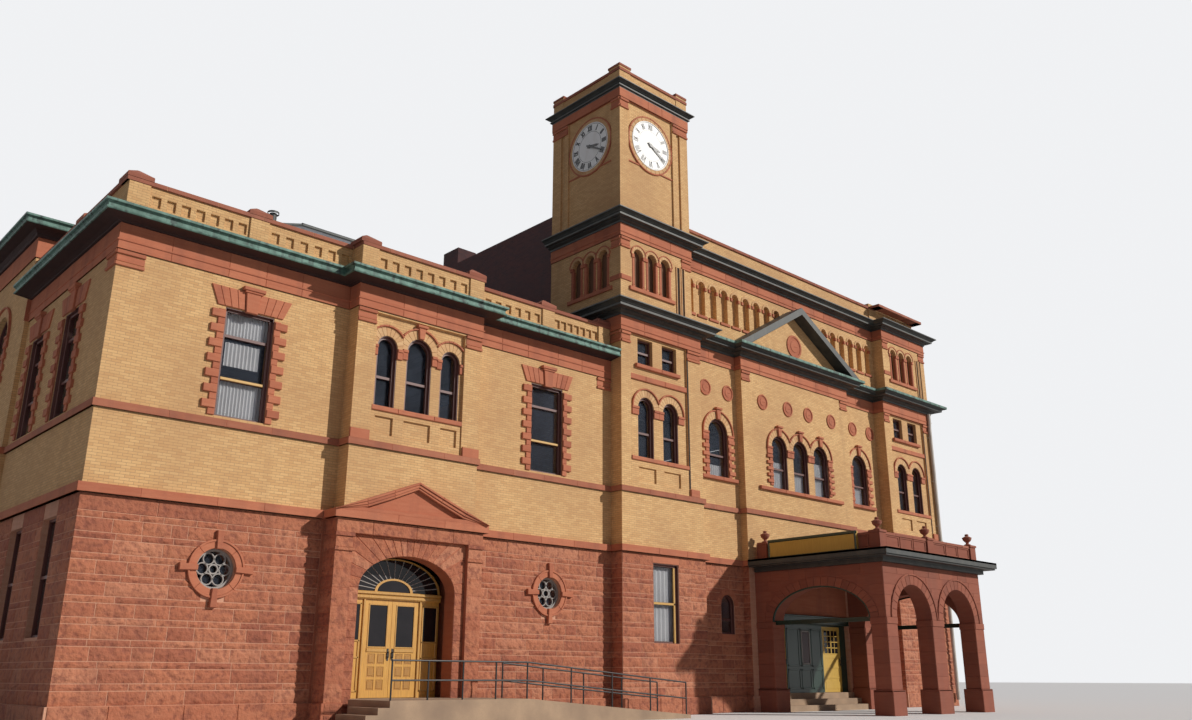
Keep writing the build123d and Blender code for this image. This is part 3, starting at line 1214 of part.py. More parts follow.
save("portico_arches", shell)
CORONA_OUT = 450
CORNICE_LIP = 50
CORNICE_BED = 150
port_rect = [(port_l, port_r, -PORT_OUT, 0)]
corona_top = PORT_CORNICE - 200
port_cornice = plan(port_rect, CORNICE_BED, PORT_TOP, PORT_TOP + 150)
port_cornice = port_cornice + plan(port_rect, CORONA_OUT, PORT_TOP + 150, corona_top)
port_cornice = port_cornice + plan(port_rect, CORONA_OUT + CORNICE_LIP, corona_top, PORT_CORNICE)
port_back = -CENTRE_OUT - LEDGE_OUT
port_cornice = only(port_cornice, -FAR, FAR, -FAR, port_back)
save("portico_cornice", port_cornice)
PORT_WALL_IN = 50
PORT_WALL_T = 250
POST = 370
POST_IN_CORNER = 175
POST_MORE = 60
REAR_POST_Y = -700
wall_l = port_l + PORT_WALL_IN
wall_r = port_r - PORT_WALL_IN
wall_front = -PORT_OUT + PORT_WALL_IN
port_wall = box(wall_l, wall_r, wall_front, port_back, PORT_CORNICE, PORT_PARAPET)
port_wall = port_wall - box(wall_l + PORT_WALL_T, wall_r - PORT_WALL_T, wall_front + PORT_WALL_T, FAR, 0, FAR)
front_posts = -PORT_OUT + POST_IN_CORNER
urn_spots = [(port_l + POST_IN_CORNER, front_posts), (STAGE_X, front_posts), (port_r - POST_IN_CORNER, front_posts)]
urn_spots += [(port_l + POST_IN_CORNER, REAR_POST_Y), (port_r - POST_IN_CORNER, REAR_POST_Y)]
URN_PROFILE = [(0, 0), (110, 0), (110, 40), (50, 70), (50, 110), (140, 210), (150, 270), (90, 300), (60, 330),
               (80, 370), (0, 420)]
urn = revolve(Plane.XZ * make_face(Polyline(*URN_PROFILE, close=True)), Axis.Z)
post_top = PORT_PARAPET + POST_MORE
urns = []
for x, y in urn_spots:
    half = POST / 2
    port_wall = port_wall + box(x - half, x + half, y - half, y + half, PORT_CORNICE, post_top)
    urns.append(Pos(x, y, post_top) * urn)
save("portico_parapet", port_wall)
save("portico_urns", *urns)
BOARD_TALL = 650
BOARD_OUT = 80
BOARD_FROM = -4570
BOARD_TO = -1000
save("sign_board", box(port_l - BOARD_OUT, wall_l, BOARD_FROM, BOARD_TO, PORT_CORNICE, PORT_CORNICE + BOARD_TALL))

# steps and doors inside the portico, at the wall of the theatre
PORT_TREAD = 300
TOP_TREAD = 60
SCREEN_IN = 150
SCREEN_T = 90
FASCIA_OUT = 210
SCREEN_LEAF_IN = 20
PORT_LEAF_L = 800
PORT_LEAF_R = 1150
PORT_POST_L = 250
PORT_POST_R = 350
PORT_GLASS_UP = 1380
step_l = port_l + PORT_CORNER
step_r = port_r - PORT_CORNER
port_steps = box(step_l, step_r, -CENTRE_OUT - TOP_TREAD, -CENTRE_OUT, 0, FLOOR)
for n in (1, 2):
    nose = -CENTRE_OUT - TOP_TREAD - n * PORT_TREAD
    port_steps = port_steps + box(step_l, step_r, nose, -CENTRE_OUT, 0, FLOOR * (3 - n) / 3)
save("portico_steps", port_steps - port_piers[3] - port_piers[4])
screen_y = -CENTRE_OUT + SCREEN_IN
screen_back = screen_y + SCREEN_T
leaf_l = door_left + PORT_POST_L
leaf_r = door_right - PORT_POST_R
leaf_y = screen_y + SCREEN_LEAF_IN
screen = box(door_left, door_right, screen_y, screen_back, FLOOR, doorway_top)
for a, b in ((leaf_l, leaf_l + PORT_LEAF_L), (leaf_r - PORT_LEAF_R, leaf_r)):
    screen = screen - box(a - LEAF_GAP, b + LEAF_GAP, screen_y - 1, screen_back + 1, 0, port_leaf_top + LEAF_GAP)
fascia = box(door_left, door_right, screen_y - FASCIA_OUT, screen_y, fascia_foot, doorway_top)
screen = screen + fascia + barrels(leaf_l, leaf_y, BARREL_R) + barrels(leaf_r, leaf_y, BARREL_R)
save("portico_screen", screen)
port_glass = FLOOR + PORT_GLASS_UP
port_leaf_left = leaf(leaf_l, leaf_l + PORT_LEAF_L, leaf_y, port_leaf_top, port_glass, 1, leaf_l)
port_leaf_right = leaf(leaf_r - PORT_LEAF_R, leaf_r, leaf_y, port_leaf_top, port_glass, 1, leaf_r)
save("portico_leaf_left", port_leaf_left)
save("portico_leaf_right", port_leaf_right)
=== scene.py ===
# %% [markdown]
# # Dressing a brick and sandstone theatre
# The construction comes from a CAD model: walls, floors, roofs, doors and clock hands are there at their
# real size. This lesson gives every surface its finish and adds what is too fine for the CAD model, such
# as each rough stone, each moulding of the cornices and each numeral of the clock.
# The first cell loads that model as a fixed frame. It could be rebuilt here by hand, but then nothing
# would line up, so every later cell asks the frame where things are.

# %% Load the frame
import math
import random

import bpy
from mathutils import Matrix, Vector


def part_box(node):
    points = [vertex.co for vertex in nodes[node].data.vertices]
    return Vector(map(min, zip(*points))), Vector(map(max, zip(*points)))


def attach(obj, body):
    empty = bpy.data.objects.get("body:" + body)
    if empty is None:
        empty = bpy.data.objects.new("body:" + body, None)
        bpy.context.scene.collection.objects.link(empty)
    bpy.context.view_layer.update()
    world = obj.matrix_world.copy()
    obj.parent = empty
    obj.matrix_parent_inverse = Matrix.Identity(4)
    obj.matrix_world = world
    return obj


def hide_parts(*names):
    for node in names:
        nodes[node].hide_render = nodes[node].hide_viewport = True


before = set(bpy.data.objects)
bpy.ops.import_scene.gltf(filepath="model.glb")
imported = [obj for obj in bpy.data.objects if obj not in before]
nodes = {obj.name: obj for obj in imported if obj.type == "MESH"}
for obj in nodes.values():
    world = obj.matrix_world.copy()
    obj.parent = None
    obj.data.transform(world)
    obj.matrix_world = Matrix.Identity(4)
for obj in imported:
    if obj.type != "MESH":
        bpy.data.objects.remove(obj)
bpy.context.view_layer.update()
print("frame:", len(nodes), "pieces of construction")

# %% [markdown]
# ## The camera
# The picture was taken from low down in front, turned a little to the right of the entrance and looking
# up. A camera can be turned by eye until it matches, but corners of the building seen in the picture fix
# it exactly: its heading, its pitch, a trace of roll and the length of its lens.

# %% Camera
HEADING = math.radians(43.051)
PITCH = math.radians(17.450)
ROLL = math.radians(0.118)
ahead = Vector((
    math.sin(HEADING) * math.cos(PITCH),
    math.cos(HEADING) * math.cos(PITCH),
    math.sin(PITCH),
))
level_right = ahead.cross(Vector((0, 0, 1))).normalized()
level_up = level_right.cross(ahead)
right_hand = level_right * math.cos(ROLL) + level_up * math.sin(ROLL)
upward = right_hand.cross(ahead)

lens = bpy.data.cameras.new("street_camera")
lens.sensor_width = 36
lens.lens = 30.529
lens.clip_end = 500
camera = bpy.data.objects.new("street_camera", lens)
turn = Matrix((right_hand, upward, -ahead)).transposed().to_4x4()
camera.matrix_world = Matrix.Translation((-6.5435, -23.0, 1.1)) @ turn
bpy.context.scene.collection.objects.link(camera)
bpy.context.scene.camera = camera
print("camera looks along", [round(v, 3) for v in ahead])

# %% [markdown]
# ## Light
# A winter sun stands rather low at the front right, so the front is lit and the left side is in shade. One
# sun lamp alone would leave the shade black. A pale sky all round fills it, and the two together add up to
# about one, so that a colour shows as it is written. The sky that the camera sees, straight, in a
# reflection or through glass, is set apart from the sky that lights the model, so the background can be
# pale without more light on the walls.

# %% Light
bpy.context.scene.view_settings.view_transform = "Standard"

sun = bpy.data.lights.new("winter_sun", "SUN")
sun.energy = 3.3
sun.angle = math.radians(1.5)
sun.color = (1.0, 0.96, 0.90)
sun_from = Vector((0.52, -0.71, 0.47))
sun_holder = bpy.data.objects.new("winter_sun", sun)
sun_holder.rotation_euler = sun_from.to_track_quat("Z", "Y").to_euler()
bpy.context.scene.collection.objects.link(sun_holder)

SKY_LIGHT = 0.12
SKY_SEEN = 0.90
SKY_LIGHT_COLOUR = (0.84, 0.86, 1.10, 1)
SKY_SEEN_COLOUR = (0.97, 0.98, 1.0, 1)
world = bpy.data.worlds.new("studio_sky")
bpy.context.scene.world = world
world.use_nodes = True
sky = world.node_tree
background = sky.nodes["Background"]
path = sky.nodes.new("ShaderNodeLightPath")
seen = path.outputs["Is Camera Ray"]
for ray in ("Is Glossy Ray", "Is Transmission Ray"):
    either = sky.nodes.new("ShaderNodeMath")
    either.operation = "MAXIMUM"
    sky.links.new(seen, either.inputs[0])
    sky.links.new(path.outputs[ray], either.inputs[1])
    seen = either.outputs[0]
strength = sky.nodes.new("ShaderNodeMapRange")
strength.inputs["To Min"].default_value = SKY_LIGHT
strength.inputs["To Max"].default_value = SKY_SEEN
sky.links.new(seen, strength.inputs["Value"])
sky.links.new(strength.outputs["Result"], background.inputs["Strength"])
tint = sky.nodes.new("ShaderNodeMix")
tint.data_type = "RGBA"
tint.inputs[6].default_value = SKY_LIGHT_COLOUR
tint.inputs[7].default_value = SKY_SEEN_COLOUR
sky.links.new(seen, tint.inputs[0])
sky.links.new(tint.outputs[2], background.inputs["Color"])
print("sun from", [round(v, 2) for v in sun_from])

# %% [markdown]
# ## Finishes made of nodes
# Every finish here is worked out by shader nodes: brick courses, stone grain, stains. Painting pictures
# for them would tie the building to image files. To keep each finish short, one small class holds a
# material and gives plain names to the steps that all of them use: noise, mixing, a colour ramp, a bump.

# %% A maker of finishes
class Finish:
    """One material and short ways of adding nodes to it."""

    def __init__(self, name, roughness=0.85, metallic=0.0):
        self.material = bpy.data.materials.new(name)
        self.material.use_nodes = True
        self.tree = self.material.node_tree
        self.shader = self.tree.nodes["Principled BSDF"]
        self.shader.inputs["Roughness"].default_value = roughness
        self.shader.inputs["Metallic"].default_value = metallic

    def add(self, kind, **settings):
        node = self.tree.nodes.new(kind)
        for key, value in settings.items():
            setattr(node, key, value)
        return node

    def put(self, socket, value):
        """Give a socket a link, a colour or a number."""
        if isinstance(value, bpy.types.NodeSocket):
            self.tree.links.new(value, socket)
        elif isinstance(value, tuple) and len(value) == 3 and socket.type == "RGBA":
            socket.default_value = (*value, 1)
        else:
            socket.default_value = value

    def maths(self, operation, a, b=0.0):
        node = self.add("ShaderNodeMath", operation=operation)
        self.put(node.inputs[0], a)
        self.put(node.inputs[1], b)
        return node.outputs[0]

    def mix(self, share, a, b, blend="MIX"):
        node = self.add("ShaderNodeMix", data_type="RGBA", blend_type=blend)
        self.put(node.inputs[0], share)
        self.put(node.inputs[6], a)
        self.put(node.inputs[7], b)
        return node.outputs[2]

    def spread(self, value, low, high, to_low=0.0, to_high=1.0):
        """Stretch a range of values to another range."""
        node = self.add("ShaderNodeMapRange")
        for socket, number in zip(node.inputs, (value, low, high, to_low, to_high)):
            self.put(socket, number)
        return node.outputs[0]

    def place(self, stretch=(1, 1, 1)):
        """The point on the object, in metres, with each direction stretched."""
        where = self.add("ShaderNodeTexCoord").outputs["Object"]
        node = self.add("ShaderNodeMapping")
        self.put(node.inputs["Vector"], where)
        node.inputs["Scale"].default_value = stretch
        return node.outputs[0]

    def noise(self, scale, detail=3.0, stretch=(1, 1, 1)):
        node = self.add("ShaderNodeTexNoise")
        self.put(node.inputs["Vector"], self.place(stretch))
        node.inputs["Scale"].default_value = scale
        node.inputs["Detail"].default_value = detail
        return node.outputs[0]

    def tone(self):
        """The number from 0 to 1 that each block of a mesh carries."""
        return self.add("ShaderNodeAttribute", attribute_name="tone").outputs["Fac"]

    def along_wall(self):
        """Metres along the wall and metres up, whichever way the wall faces."""
        coordinates = self.add("ShaderNodeTexCoord")
        place = self.add("ShaderNodeSeparateXYZ")
        facing = self.add("ShaderNodeSeparateXYZ")
        self.put(place.inputs[0], coordinates.outputs["Object"])
        self.put(facing.inputs[0], coordinates.outputs["Normal"])
        sideways = self.maths("GREATER_THAN", self.maths("ABSOLUTE", facing.outputs[0]), 0.7)
        on_side = self.maths("MULTIPLY", place.outputs[1], sideways)
        on_front = self.maths("MULTIPLY", place.outputs[0], self.maths("SUBTRACT", 1.0, sideways))
        joined = self.add("ShaderNodeCombineXYZ")
        self.put(joined.inputs[0], self.maths("ADD", on_side, on_front))
        self.put(joined.inputs[1], place.outputs[2])
        return joined.outputs[0]

    def bricks(self, light, dark, joint, **sizes):
        """Courses of bricks or slates along the wall, in metres; gives back their texture node."""
        laid = self.add("ShaderNodeTexBrick")
        self.put(laid.inputs["Vector"], self.along_wall())
        for key, value in (("Color1", light), ("Color2", dark), ("Mortar", joint), ("Scale", 1.0)):
            self.put(laid.inputs[key], value)
        for key, value in sizes.items():
            laid.inputs[key.replace("_", " ").title()].default_value = value
        return laid

    def colour(self, value):
        self.put(self.shader.inputs["Base Color"], value)

    def bump(self, height, depth, strength=1.0):
        """Raise and sink the surface by up to this many metres."""
        node = self.add("ShaderNodeBump")
        self.put(node.inputs["Height"], height)
        node.inputs["Distance"].default_value = depth
        node.inputs["Strength"].default_value = strength
        before = self.shader.inputs["Normal"].links
        if before:
            self.put(node.inputs["Normal"], before[0].from_socket)
        self.put(self.shader.inputs["Normal"], node.outputs[0])


print("finishes are ready to be mixed")

# %% [markdown]
# ## Brick
# The upper walls are hard buff brick, 203 by 58 mm on the face, laid with thin joints. Real bricks could
# be modelled one by one, but there are about a hundred thousand of them and each is two pixels tall in the
# picture. The Brick Texture lays them exactly to scale instead, in metres along the wall. Bricks differ a
# little in colour, rain draws long stains down the wall and soot gathers under ledges.

# %% Brick finish
COURSE = 0.0665
BRICK_LONG = 0.211
JOINT = 0.0045


def brick_finish(name, light, dark, joint, stain, stain_share=0.5):
    finish = Finish(name, roughness=0.88)
    laid = finish.bricks(light, dark, joint, mortar_size=JOINT, mortar_smooth=0.3, bias=-0.1,
                         brick_width=BRICK_LONG, row_height=COURSE)
    fine = finish.spread(finish.noise(1.4, 5), 0.35, 0.7)
    base = finish.mix(finish.maths("MULTIPLY", fine, 0.30), laid.outputs["Color"], dark)
    streaks = finish.spread(finish.noise(1.3, 4, (1.6, 1.6, 0.16)), 0.52, 0.78)
    patches = finish.spread(finish.noise(0.33, 3), 0.42, 0.66)
    dirt = finish.maths("MULTIPLY", finish.maths("MAXIMUM", streaks, patches), stain_share)
    finish.colour(finish.mix(dirt, base, stain))
    finish.bump(laid.outputs["Fac"], -0.004, 0.7)
    finish.bump(finish.noise(60, 2), 0.0015, 0.5)
    return finish.material


buff_brick = brick_finish("buff_brick", light=(0.76, 0.49, 0.225), dark=(0.62, 0.36, 0.155),
                          joint=(0.36, 0.22, 0.125), stain=(0.46, 0.26, 0.125))
# The side walls are dark red common brick, and their colour is lowered further as painted shade for the shade that
# side stands in.
side_brick = brick_finish("dark_red_brick_and_painted_shade", light=(0.088, 0.028, 0.026), dark=(0.042, 0.016, 0.020),
                          joint=(0.078, 0.044, 0.044), stain=(0.02, 0.012, 0.014), stain_share=0.6)
print("brick courses every", COURSE * 1000, "mm")

# %% [markdown]
# ## Sandstone
# The stone is a warm red sandstone from one quarry bed: each block is a shade apart, with faint layers
# and a gritty face. One colour ramp driven by a number on each block gives that spread. Where a surface
# has no separate blocks, the number is zero and the first shade shows. Painting each block by hand would
# give the same, but for two thousand blocks it would never end.

# %% Sandstone finishes
REDDISH_LAYER = (0.66, 0.30, 0.17)
DARK_GRAIN = (0.30, 0.10, 0.06)
SOOT = (0.17, 0.065, 0.05)
HOLLOW_SHADE = (0.20, 0.06, 0.04)


def stone_finish(name, shades, grit=0.004, roughness=0.9, soot=0.35, rock=0.0):
    finish = Finish(name, roughness=roughness)
    ramp = finish.add("ShaderNodeValToRGB")
    finish.put(ramp.inputs[0], finish.tone())
    stops = ramp.color_ramp.elements
    while len(stops) < len(shades):
        stops.new(0.5)
    for place, (stop, shade) in enumerate(zip(stops, shades)):
        stop.position = place / (len(shades) - 1)
        stop.color = (*shade, 1)
    layers = finish.spread(finish.noise(5, 4, (0.35, 0.35, 3.0)), 0.35, 0.7)
    grain = finish.spread(finish.noise(38, 3), 0.3, 0.7)
    layered = finish.mix(finish.maths("MULTIPLY", layers, 0.25), ramp.outputs[0], REDDISH_LAYER, "MULTIPLY")
    worn = finish.mix(finish.maths("MULTIPLY", grain, 0.22), layered, DARK_GRAIN)
    streaks = finish.spread(finish.noise(1.1, 4, (1.8, 1.8, 0.25)), 0.5, 0.8)
    soiled = finish.mix(finish.maths("MULTIPLY", streaks, soot), worn, SOOT)
    finish.colour(soiled)
    finish.bump(grain, grit, 0.8)
    # With rock, a coarse noise bumps the face, and its low places are coloured darker: painted shade in the hollows.
    if rock:
        broken = finish.noise(7, 4)
        hollow_shade = finish.spread(broken, 0.50, 0.36)
        finish.colour(finish.mix(finish.maths("MULTIPLY", hollow_shade, 0.55), soiled, HOLLOW_SHADE))
        finish.bump(broken, rock, 1.0)
    return finish.material


RED_SHADES = [(0.45, 0.155, 0.082), (0.52, 0.20, 0.105), (0.37, 0.122, 0.068),
              (0.48, 0.175, 0.09), (0.57, 0.245, 0.14)]
red_stone = stone_finish("red_sandstone", RED_SHADES, rock=0.06)
dressed_stone = stone_finish(
    "dressed_sandstone", [(0.50, 0.17, 0.09), (0.56, 0.205, 0.11), (0.43, 0.14, 0.075)],
    grit=0.0015, soot=0.45)
joint_stone = stone_finish("pale_joints", [(0.70, 0.39, 0.26), (0.66, 0.36, 0.235)], grit=0.001, soot=0.3)
arch_brick = stone_finish(
    "rubbed_brick", [(0.74, 0.49, 0.25), (0.68, 0.43, 0.21), (0.79, 0.55, 0.29)], grit=0.001, soot=0.3)
belt_stone = stone_finish(
    "belt_stone", [(0.44, 0.165, 0.095), (0.38, 0.14, 0.08), (0.49, 0.20, 0.115)], grit=0.0015, soot=0.6)
porch_stone = stone_finish(
    "porch_sandstone", [(0.29, 0.092, 0.056), (0.34, 0.112, 0.066), (0.24, 0.078, 0.048)],
    grit=0.002, soot=0.5)
brown_stone = stone_finish(
    "weathered_red_stone", [(0.36, 0.125, 0.075), (0.30, 0.10, 0.062), (0.42, 0.16, 0.10)],
    grit=0.003, soot=0.6)
print("sandstone in", len(RED_SHADES), "shades")

# %% [markdown]
# ## Copper and painted metal
# The gutters are copper, long since gone green, with dark runs where water drips. The higher cornices
# are painted dark grey sheet metal. A plain colour would look like plastic, so each of these is two
# colours mixed by a noise: broad patches for weather, and long thin ones for running water.

# %% Copper and painted metal
def copper_finish():
    finish = Finish("green_copper", roughness=0.62, metallic=0.15)
    runs = finish.spread(finish.noise(2.6, 5, (2.6, 2.6, 0.2)), 0.50, 0.66)
    patches = finish.spread(finish.noise(5, 4), 0.35, 0.65)
    green = finish.mix(patches, (0.06, 0.125, 0.10), (0.13, 0.24, 0.20))
    finish.colour(finish.mix(runs, green, (0.03, 0.05, 0.045)))
    finish.bump(finish.noise(14, 3), 0.003, 0.5)
    return finish.material


def painted_metal(name, colour, worn, roughness=0.5, share=0.5):
    finish = Finish(name, roughness=roughness)
    patches = finish.spread(finish.noise(3, 5, (1, 1, 0.5)), 0.45, 0.7)
    finish.colour(finish.mix(finish.maths("MULTIPLY", patches, share), colour, worn))
    finish.bump(finish.noise(20, 3), 0.0015, 0.4)
    return finish.material


green_copper = copper_finish()
dark_metal = painted_metal("dark_cornice_metal", (0.034, 0.038, 0.036), (0.085, 0.085, 0.072), 0.55)
black_pipe = painted_metal("black_pipe", (0.016, 0.015, 0.016), (0.07, 0.05, 0.04), 0.42, 0.35)
white_dial = painted_metal("white_dial", (0.86, 0.87, 0.85), (0.70, 0.69, 0.64), 0.45)
black_paint = painted_metal("black_paint", (0.012, 0.012, 0.014), (0.03, 0.03, 0.03), 0.4)
# The soffit under the copper gutter is near black: painted shade for the shadow the gutter throws.
soffit_painted_shade = painted_metal("soffit_painted_shade", (0.040, 0.017, 0.015), (0.022, 0.011, 0.010), 0.8)
# A near-black finish for places seen only as shade: painted shade in the slots and grooves.
deep_shade = painted_metal("deep_shade", (0.018, 0.010, 0.008), (0.035, 0.018, 0.014), 0.9)
# A dark brown for the backs of the wide niches: painted shade for the shadow inside them.
niche_painted_shade = painted_metal("niche_painted_shade", (0.15, 0.075, 0.04), (0.10, 0.05, 0.03), 0.9)
pale_pipe = painted_metal("pale_pipe", (0.56, 0.52, 0.46), (0.30, 0.26, 0.22))
grey_bars = painted_metal("grey_bars", (0.33, 0.31, 0.29), (0.20, 0.18, 0.17), 0.55, 0.4)
print("copper and painted metals are mixed")

# %% [markdown]
# ## Slate, concrete, wood and glass
# The hall has a slate roof, the floors and steps are concrete, the entrance doors varnished oak and the
# porch doors yellow paint. Slates are bricks to a texture: the same courses, wider and with a deeper
# edge. Wood is a noise drawn out upwards into grain. Glass could be worked out with full refraction, but
# a thin pane only darkens what is behind it, so part of its opacity is taken away instead.

# %% Slate, concrete, wood and glass
def slate_finish():
    finish = Finish("grey_slate", roughness=0.6)
    laid = finish.bricks((0.13, 0.135, 0.15), (0.085, 0.09, 0.10), (0.03, 0.03, 0.033),
                         mortar_size=0.004, brick_width=0.25, row_height=0.16)
    finish.colour(laid.outputs["Color"])
    finish.bump(laid.outputs["Fac"], -0.01, 0.8)
    return finish.material


def concrete_finish(name, pale, dark):
    finish = Finish(name, roughness=0.92)
    patches = finish.spread(finish.noise(1.2, 6), 0.35, 0.68)
    speckle = finish.spread(finish.noise(45, 2), 0.4, 0.7)
    base = finish.mix(patches, pale, dark)
    finish.colour(finish.mix(finish.maths("MULTIPLY", speckle, 0.25), base, dark))
    finish.bump(speckle, 0.002, 0.6)
    return finish.material


def wood_finish(name, light, dark, roughness=0.4, grain_share=0.6):
    finish = Finish(name, roughness=roughness)
    grain = finish.spread(finish.noise(9, 5, (6, 6, 0.35)), 0.35, 0.65)
    finish.colour(finish.mix(finish.maths("MULTIPLY", grain, grain_share), light, dark))
    finish.bump(grain, 0.0008, 0.5)
    finish.shader.inputs["Coat Weight"].default_value = 0.25
    finish.shader.inputs["Coat Roughness"].default_value = 0.2
    return finish.material


def glass_finish(name, tint, alpha, roughness=0.06):
    finish = Finish(name, roughness=roughness)
    smears = finish.spread(finish.noise(1.6, 3), 0.4, 0.7)
    finish.colour(finish.mix(smears, tint, tuple(1.6 * c for c in tint)))
    finish.shader.inputs["Alpha"].default_value = alpha
    finish.shader.inputs["Specular IOR Level"].default_value = 0.3
    finish.bump(finish.noise(2.2, 2), 0.004, 0.25)
    return finish.material


grey_slate = slate_finish()
pale_concrete = concrete_finish("pale_concrete", (0.46, 0.32, 0.21), (0.30, 0.21, 0.145))
roof_felt = concrete_finish("roof_felt", (0.15, 0.145, 0.14), (0.08, 0.078, 0.076))
golden_oak = wood_finish("golden_oak", (0.72, 0.39, 0.075), (0.46, 0.22, 0.045))
yellow_paint = wood_finish("yellow_paint", (0.60, 0.39, 0.07), (0.46, 0.27, 0.045), 0.5, 0.5)
window_paint = wood_finish("window_paint", (0.115, 0.038, 0.030), (0.07, 0.024, 0.020), 0.5, 0.4)
ochre_paint = wood_finish("ochre_paint", (0.62, 0.37, 0.10), (0.46, 0.25, 0.06), 0.5, 0.4)
dark_green = wood_finish("dark_green_paint", (0.012, 0.040, 0.026), (0.008, 0.022, 0.016), 0.4, 0.5)
window_glass = glass_finish("window_glass", (0.06, 0.075, 0.105), 0.20)
pale_oak = wood_finish("pale_oak", (0.62, 0.35, 0.085), (0.42, 0.20, 0.045))
brown_oak = wood_finish("brown_oak", (0.50, 0.25, 0.048), (0.30, 0.13, 0.025))
bare_board = wood_finish("bare_board", (0.045, 0.016, 0.016), (0.03, 0.012, 0.014), 0.6, 0.4)
door_glass = glass_finish("door_glass", (0.012, 0.010, 0.012), 1.0)
white_cloth = concrete_finish("white_cloth", (0.88, 0.89, 0.90), (0.76, 0.77, 0.78))
print("slate, concrete, wood and glass are mixed")

# %% [markdown]
# ## Who wears what
# The frame's pieces arrive in plain grey. A piece made later can be given its finish as it is made, but
# these are already here, so one table says which finish each of them gets.

# %% Finish of each piece of construction
FINISHES = (
    (buff_brick, ("bay_brick", "corner_pavilion_walls", "gable_wall", "hall_brick_front",
                  "hall_brick_sides", "hall_parapet", "theatre_brick_sides", "theatre_centre_wall",
                  "theatre_pavilions", "theatre_recess_walls", "tower_walls", "upper_front_wall",
                  "upper_parapets", "upper_pavilion")),
    (side_brick, ("upper_side_walls",)),
    (dressed_stone, ("bay_arch", "bay_jambs", "bay_pediment", "belt_course", "eaves_friezes",
                     "ledge_course", "theatre_lintel", "upper_friezes", "window_stone")),
    (porch_stone, ("portico_arches", "portico_parapet", "portico_piers", "portico_urns")),
    (joint_stone, ("hall_stone_front", "hall_stone_sides", "theatre_stone_front",
                   "theatre_stone_sides")),
    (green_copper, ("hall_gutter",)),
    (dark_metal, ("gable_rake", "portico_cornice", "theatre_cornice", "upper_cornices")),
    (black_pipe, ("landing_railing",)),
    (grey_slate, ("hall_roof",)),
    (roof_felt, ("theatre_roof",)),
    (pale_concrete, ("entrance_landing", "ground_floor", "portico_steps", "upper_floor")),
    (golden_oak, ("entrance_frame", "entrance_fanlight", "entrance_leaf_left", "entrance_leaf_right")),
    (yellow_paint, ("portico_leaf_left", "portico_leaf_right", "sign_board")),
    (dark_green, ("portico_screen",)),
    (window_paint, ("window_sashes",)),
    (window_glass, ("window_glass",)),
    (white_dial, ("clock_dials",)),
    (black_paint, ("far_clock_hands", "front_hour_hand", "front_minute_hand", "left_hour_hand",
                   "left_minute_hand")),
)
finished = set()
for material, names in FINISHES:
    for name in names:
        nodes[name].data.materials.clear()
        nodes[name].data.materials.append(material)
        finished.add(name)
print("finished", len(finished), "of", len(nodes), "pieces; plain:", sorted(set(nodes) - finished))

# %% [markdown]
# ## One mesh from many stones
# Hundreds of stones as separate objects would be slow to handle, and one flat wall would look drawn on.
# So the stones of a wall are real blocks gathered into one mesh. Each face remembers its stone's tone,
# a number that the finishes turn into a shade. Walls that face other ways use the same code: a placing
# turns drawings made on a wall seen from outside (along, into the wall, up) to where that wall stands.

# %% Piles and placings
rng = random.Random(1893)


def plain_mesh(name, points, faces):
    mesh = bpy.data.meshes.new(name)
    mesh.from_pydata(points, [], faces)
    item = bpy.data.objects.new(name, mesh)
    bpy.context.scene.collection.objects.link(item)
    return item


class Pile:
    """Gathers many like blocks, to become one mesh."""

    def __init__(self, place=Matrix()):
        self.place = place
        self.points, self.faces, self.tones = [], [], []

    def add(self, points, faces, tone=0.5, turn=Matrix()):
        first = len(self.points)
        where = self.place @ turn
        self.points += [where @ Vector(p) for p in points]
        self.faces += [[first + n for n in face] for face in faces]
        self.tones += [tone] * len(faces)

    def piece(self, name, material, slot="sandstone", body="building", stands_for=()):
        item = plain_mesh(name, self.points, self.faces)
        tones = item.data.attributes.new("tone", "FLOAT", "FACE")
        tones.data.foreach_set("value", self.tones)
        item.data.materials.append(material)
        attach(item, body)
        if stands_for:
            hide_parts(*stands_for)
        print(name, len(self.faces), "faces")


def front(y):
    return Matrix.Translation((0, y, 0))


def left(x):
    return Matrix.Translation((x, 0, 0)) @ Matrix.Rotation(math.radians(-90), 4, "Z")


def right(x):
    return Matrix.Translation((x, 0, 0)) @ Matrix.Rotation(math.radians(90), 4, "Z")


def back(y):
    return Matrix.Translation((0, y, 0)) @ Matrix.Rotation(math.radians(180), 4, "Z")


# %% Blocks with worn edges
def shrunk(outline, edge):
    """The outline moved inwards by the same amount on every side."""
    result = []
    count = len(outline)
    for n in range(count):
        before, here, after = (Vector(outline[(n + k) % count]) for k in (-1, 0, 1))
        first = (here - before).normalized()
        second = (after - here).normalized()
        inward = Vector((-first.y, first.x)) + Vector((-second.y, second.x))
        share = max(0.35, inward.length_squared / 2)
        result.append(here + inward * (edge / share))
    return result


def block(pile, outline, near, deep, edge=0.006, tone=0.5, turn=Matrix()):
    """A stone with this outline, from its face near to its bed deep in the wall, with bevelled edges."""
    count = len(outline)
    points = [(u, deep, z) for u, z in outline]
    points += [(u, near + edge, z) for u, z in outline]
    points += [(u, near, z) for u, z in shrunk(outline, edge)]
    faces = [list(range(2 * count, 3 * count))]
    for n in range(count):
        m = (n + 1) % count
        faces.append([n + count, n, m, m + count])
        faces.append([n + 2 * count, n + count, m + count, m + 2 * count])
    pile.add(points, faces, tone, turn)


def box_outline(u0, u1, z0, z1):
    return [(u0, z0), (u1, z0), (u1, z1), (u0, z1)]


def slab(pile, u0, u1, near, deep, z0, z1, edge=0.006, tone=0.5):
    """A squared block of one even tone."""
    block(pile, box_outline(u0, u1, z0, z1), near, deep, edge, tone)


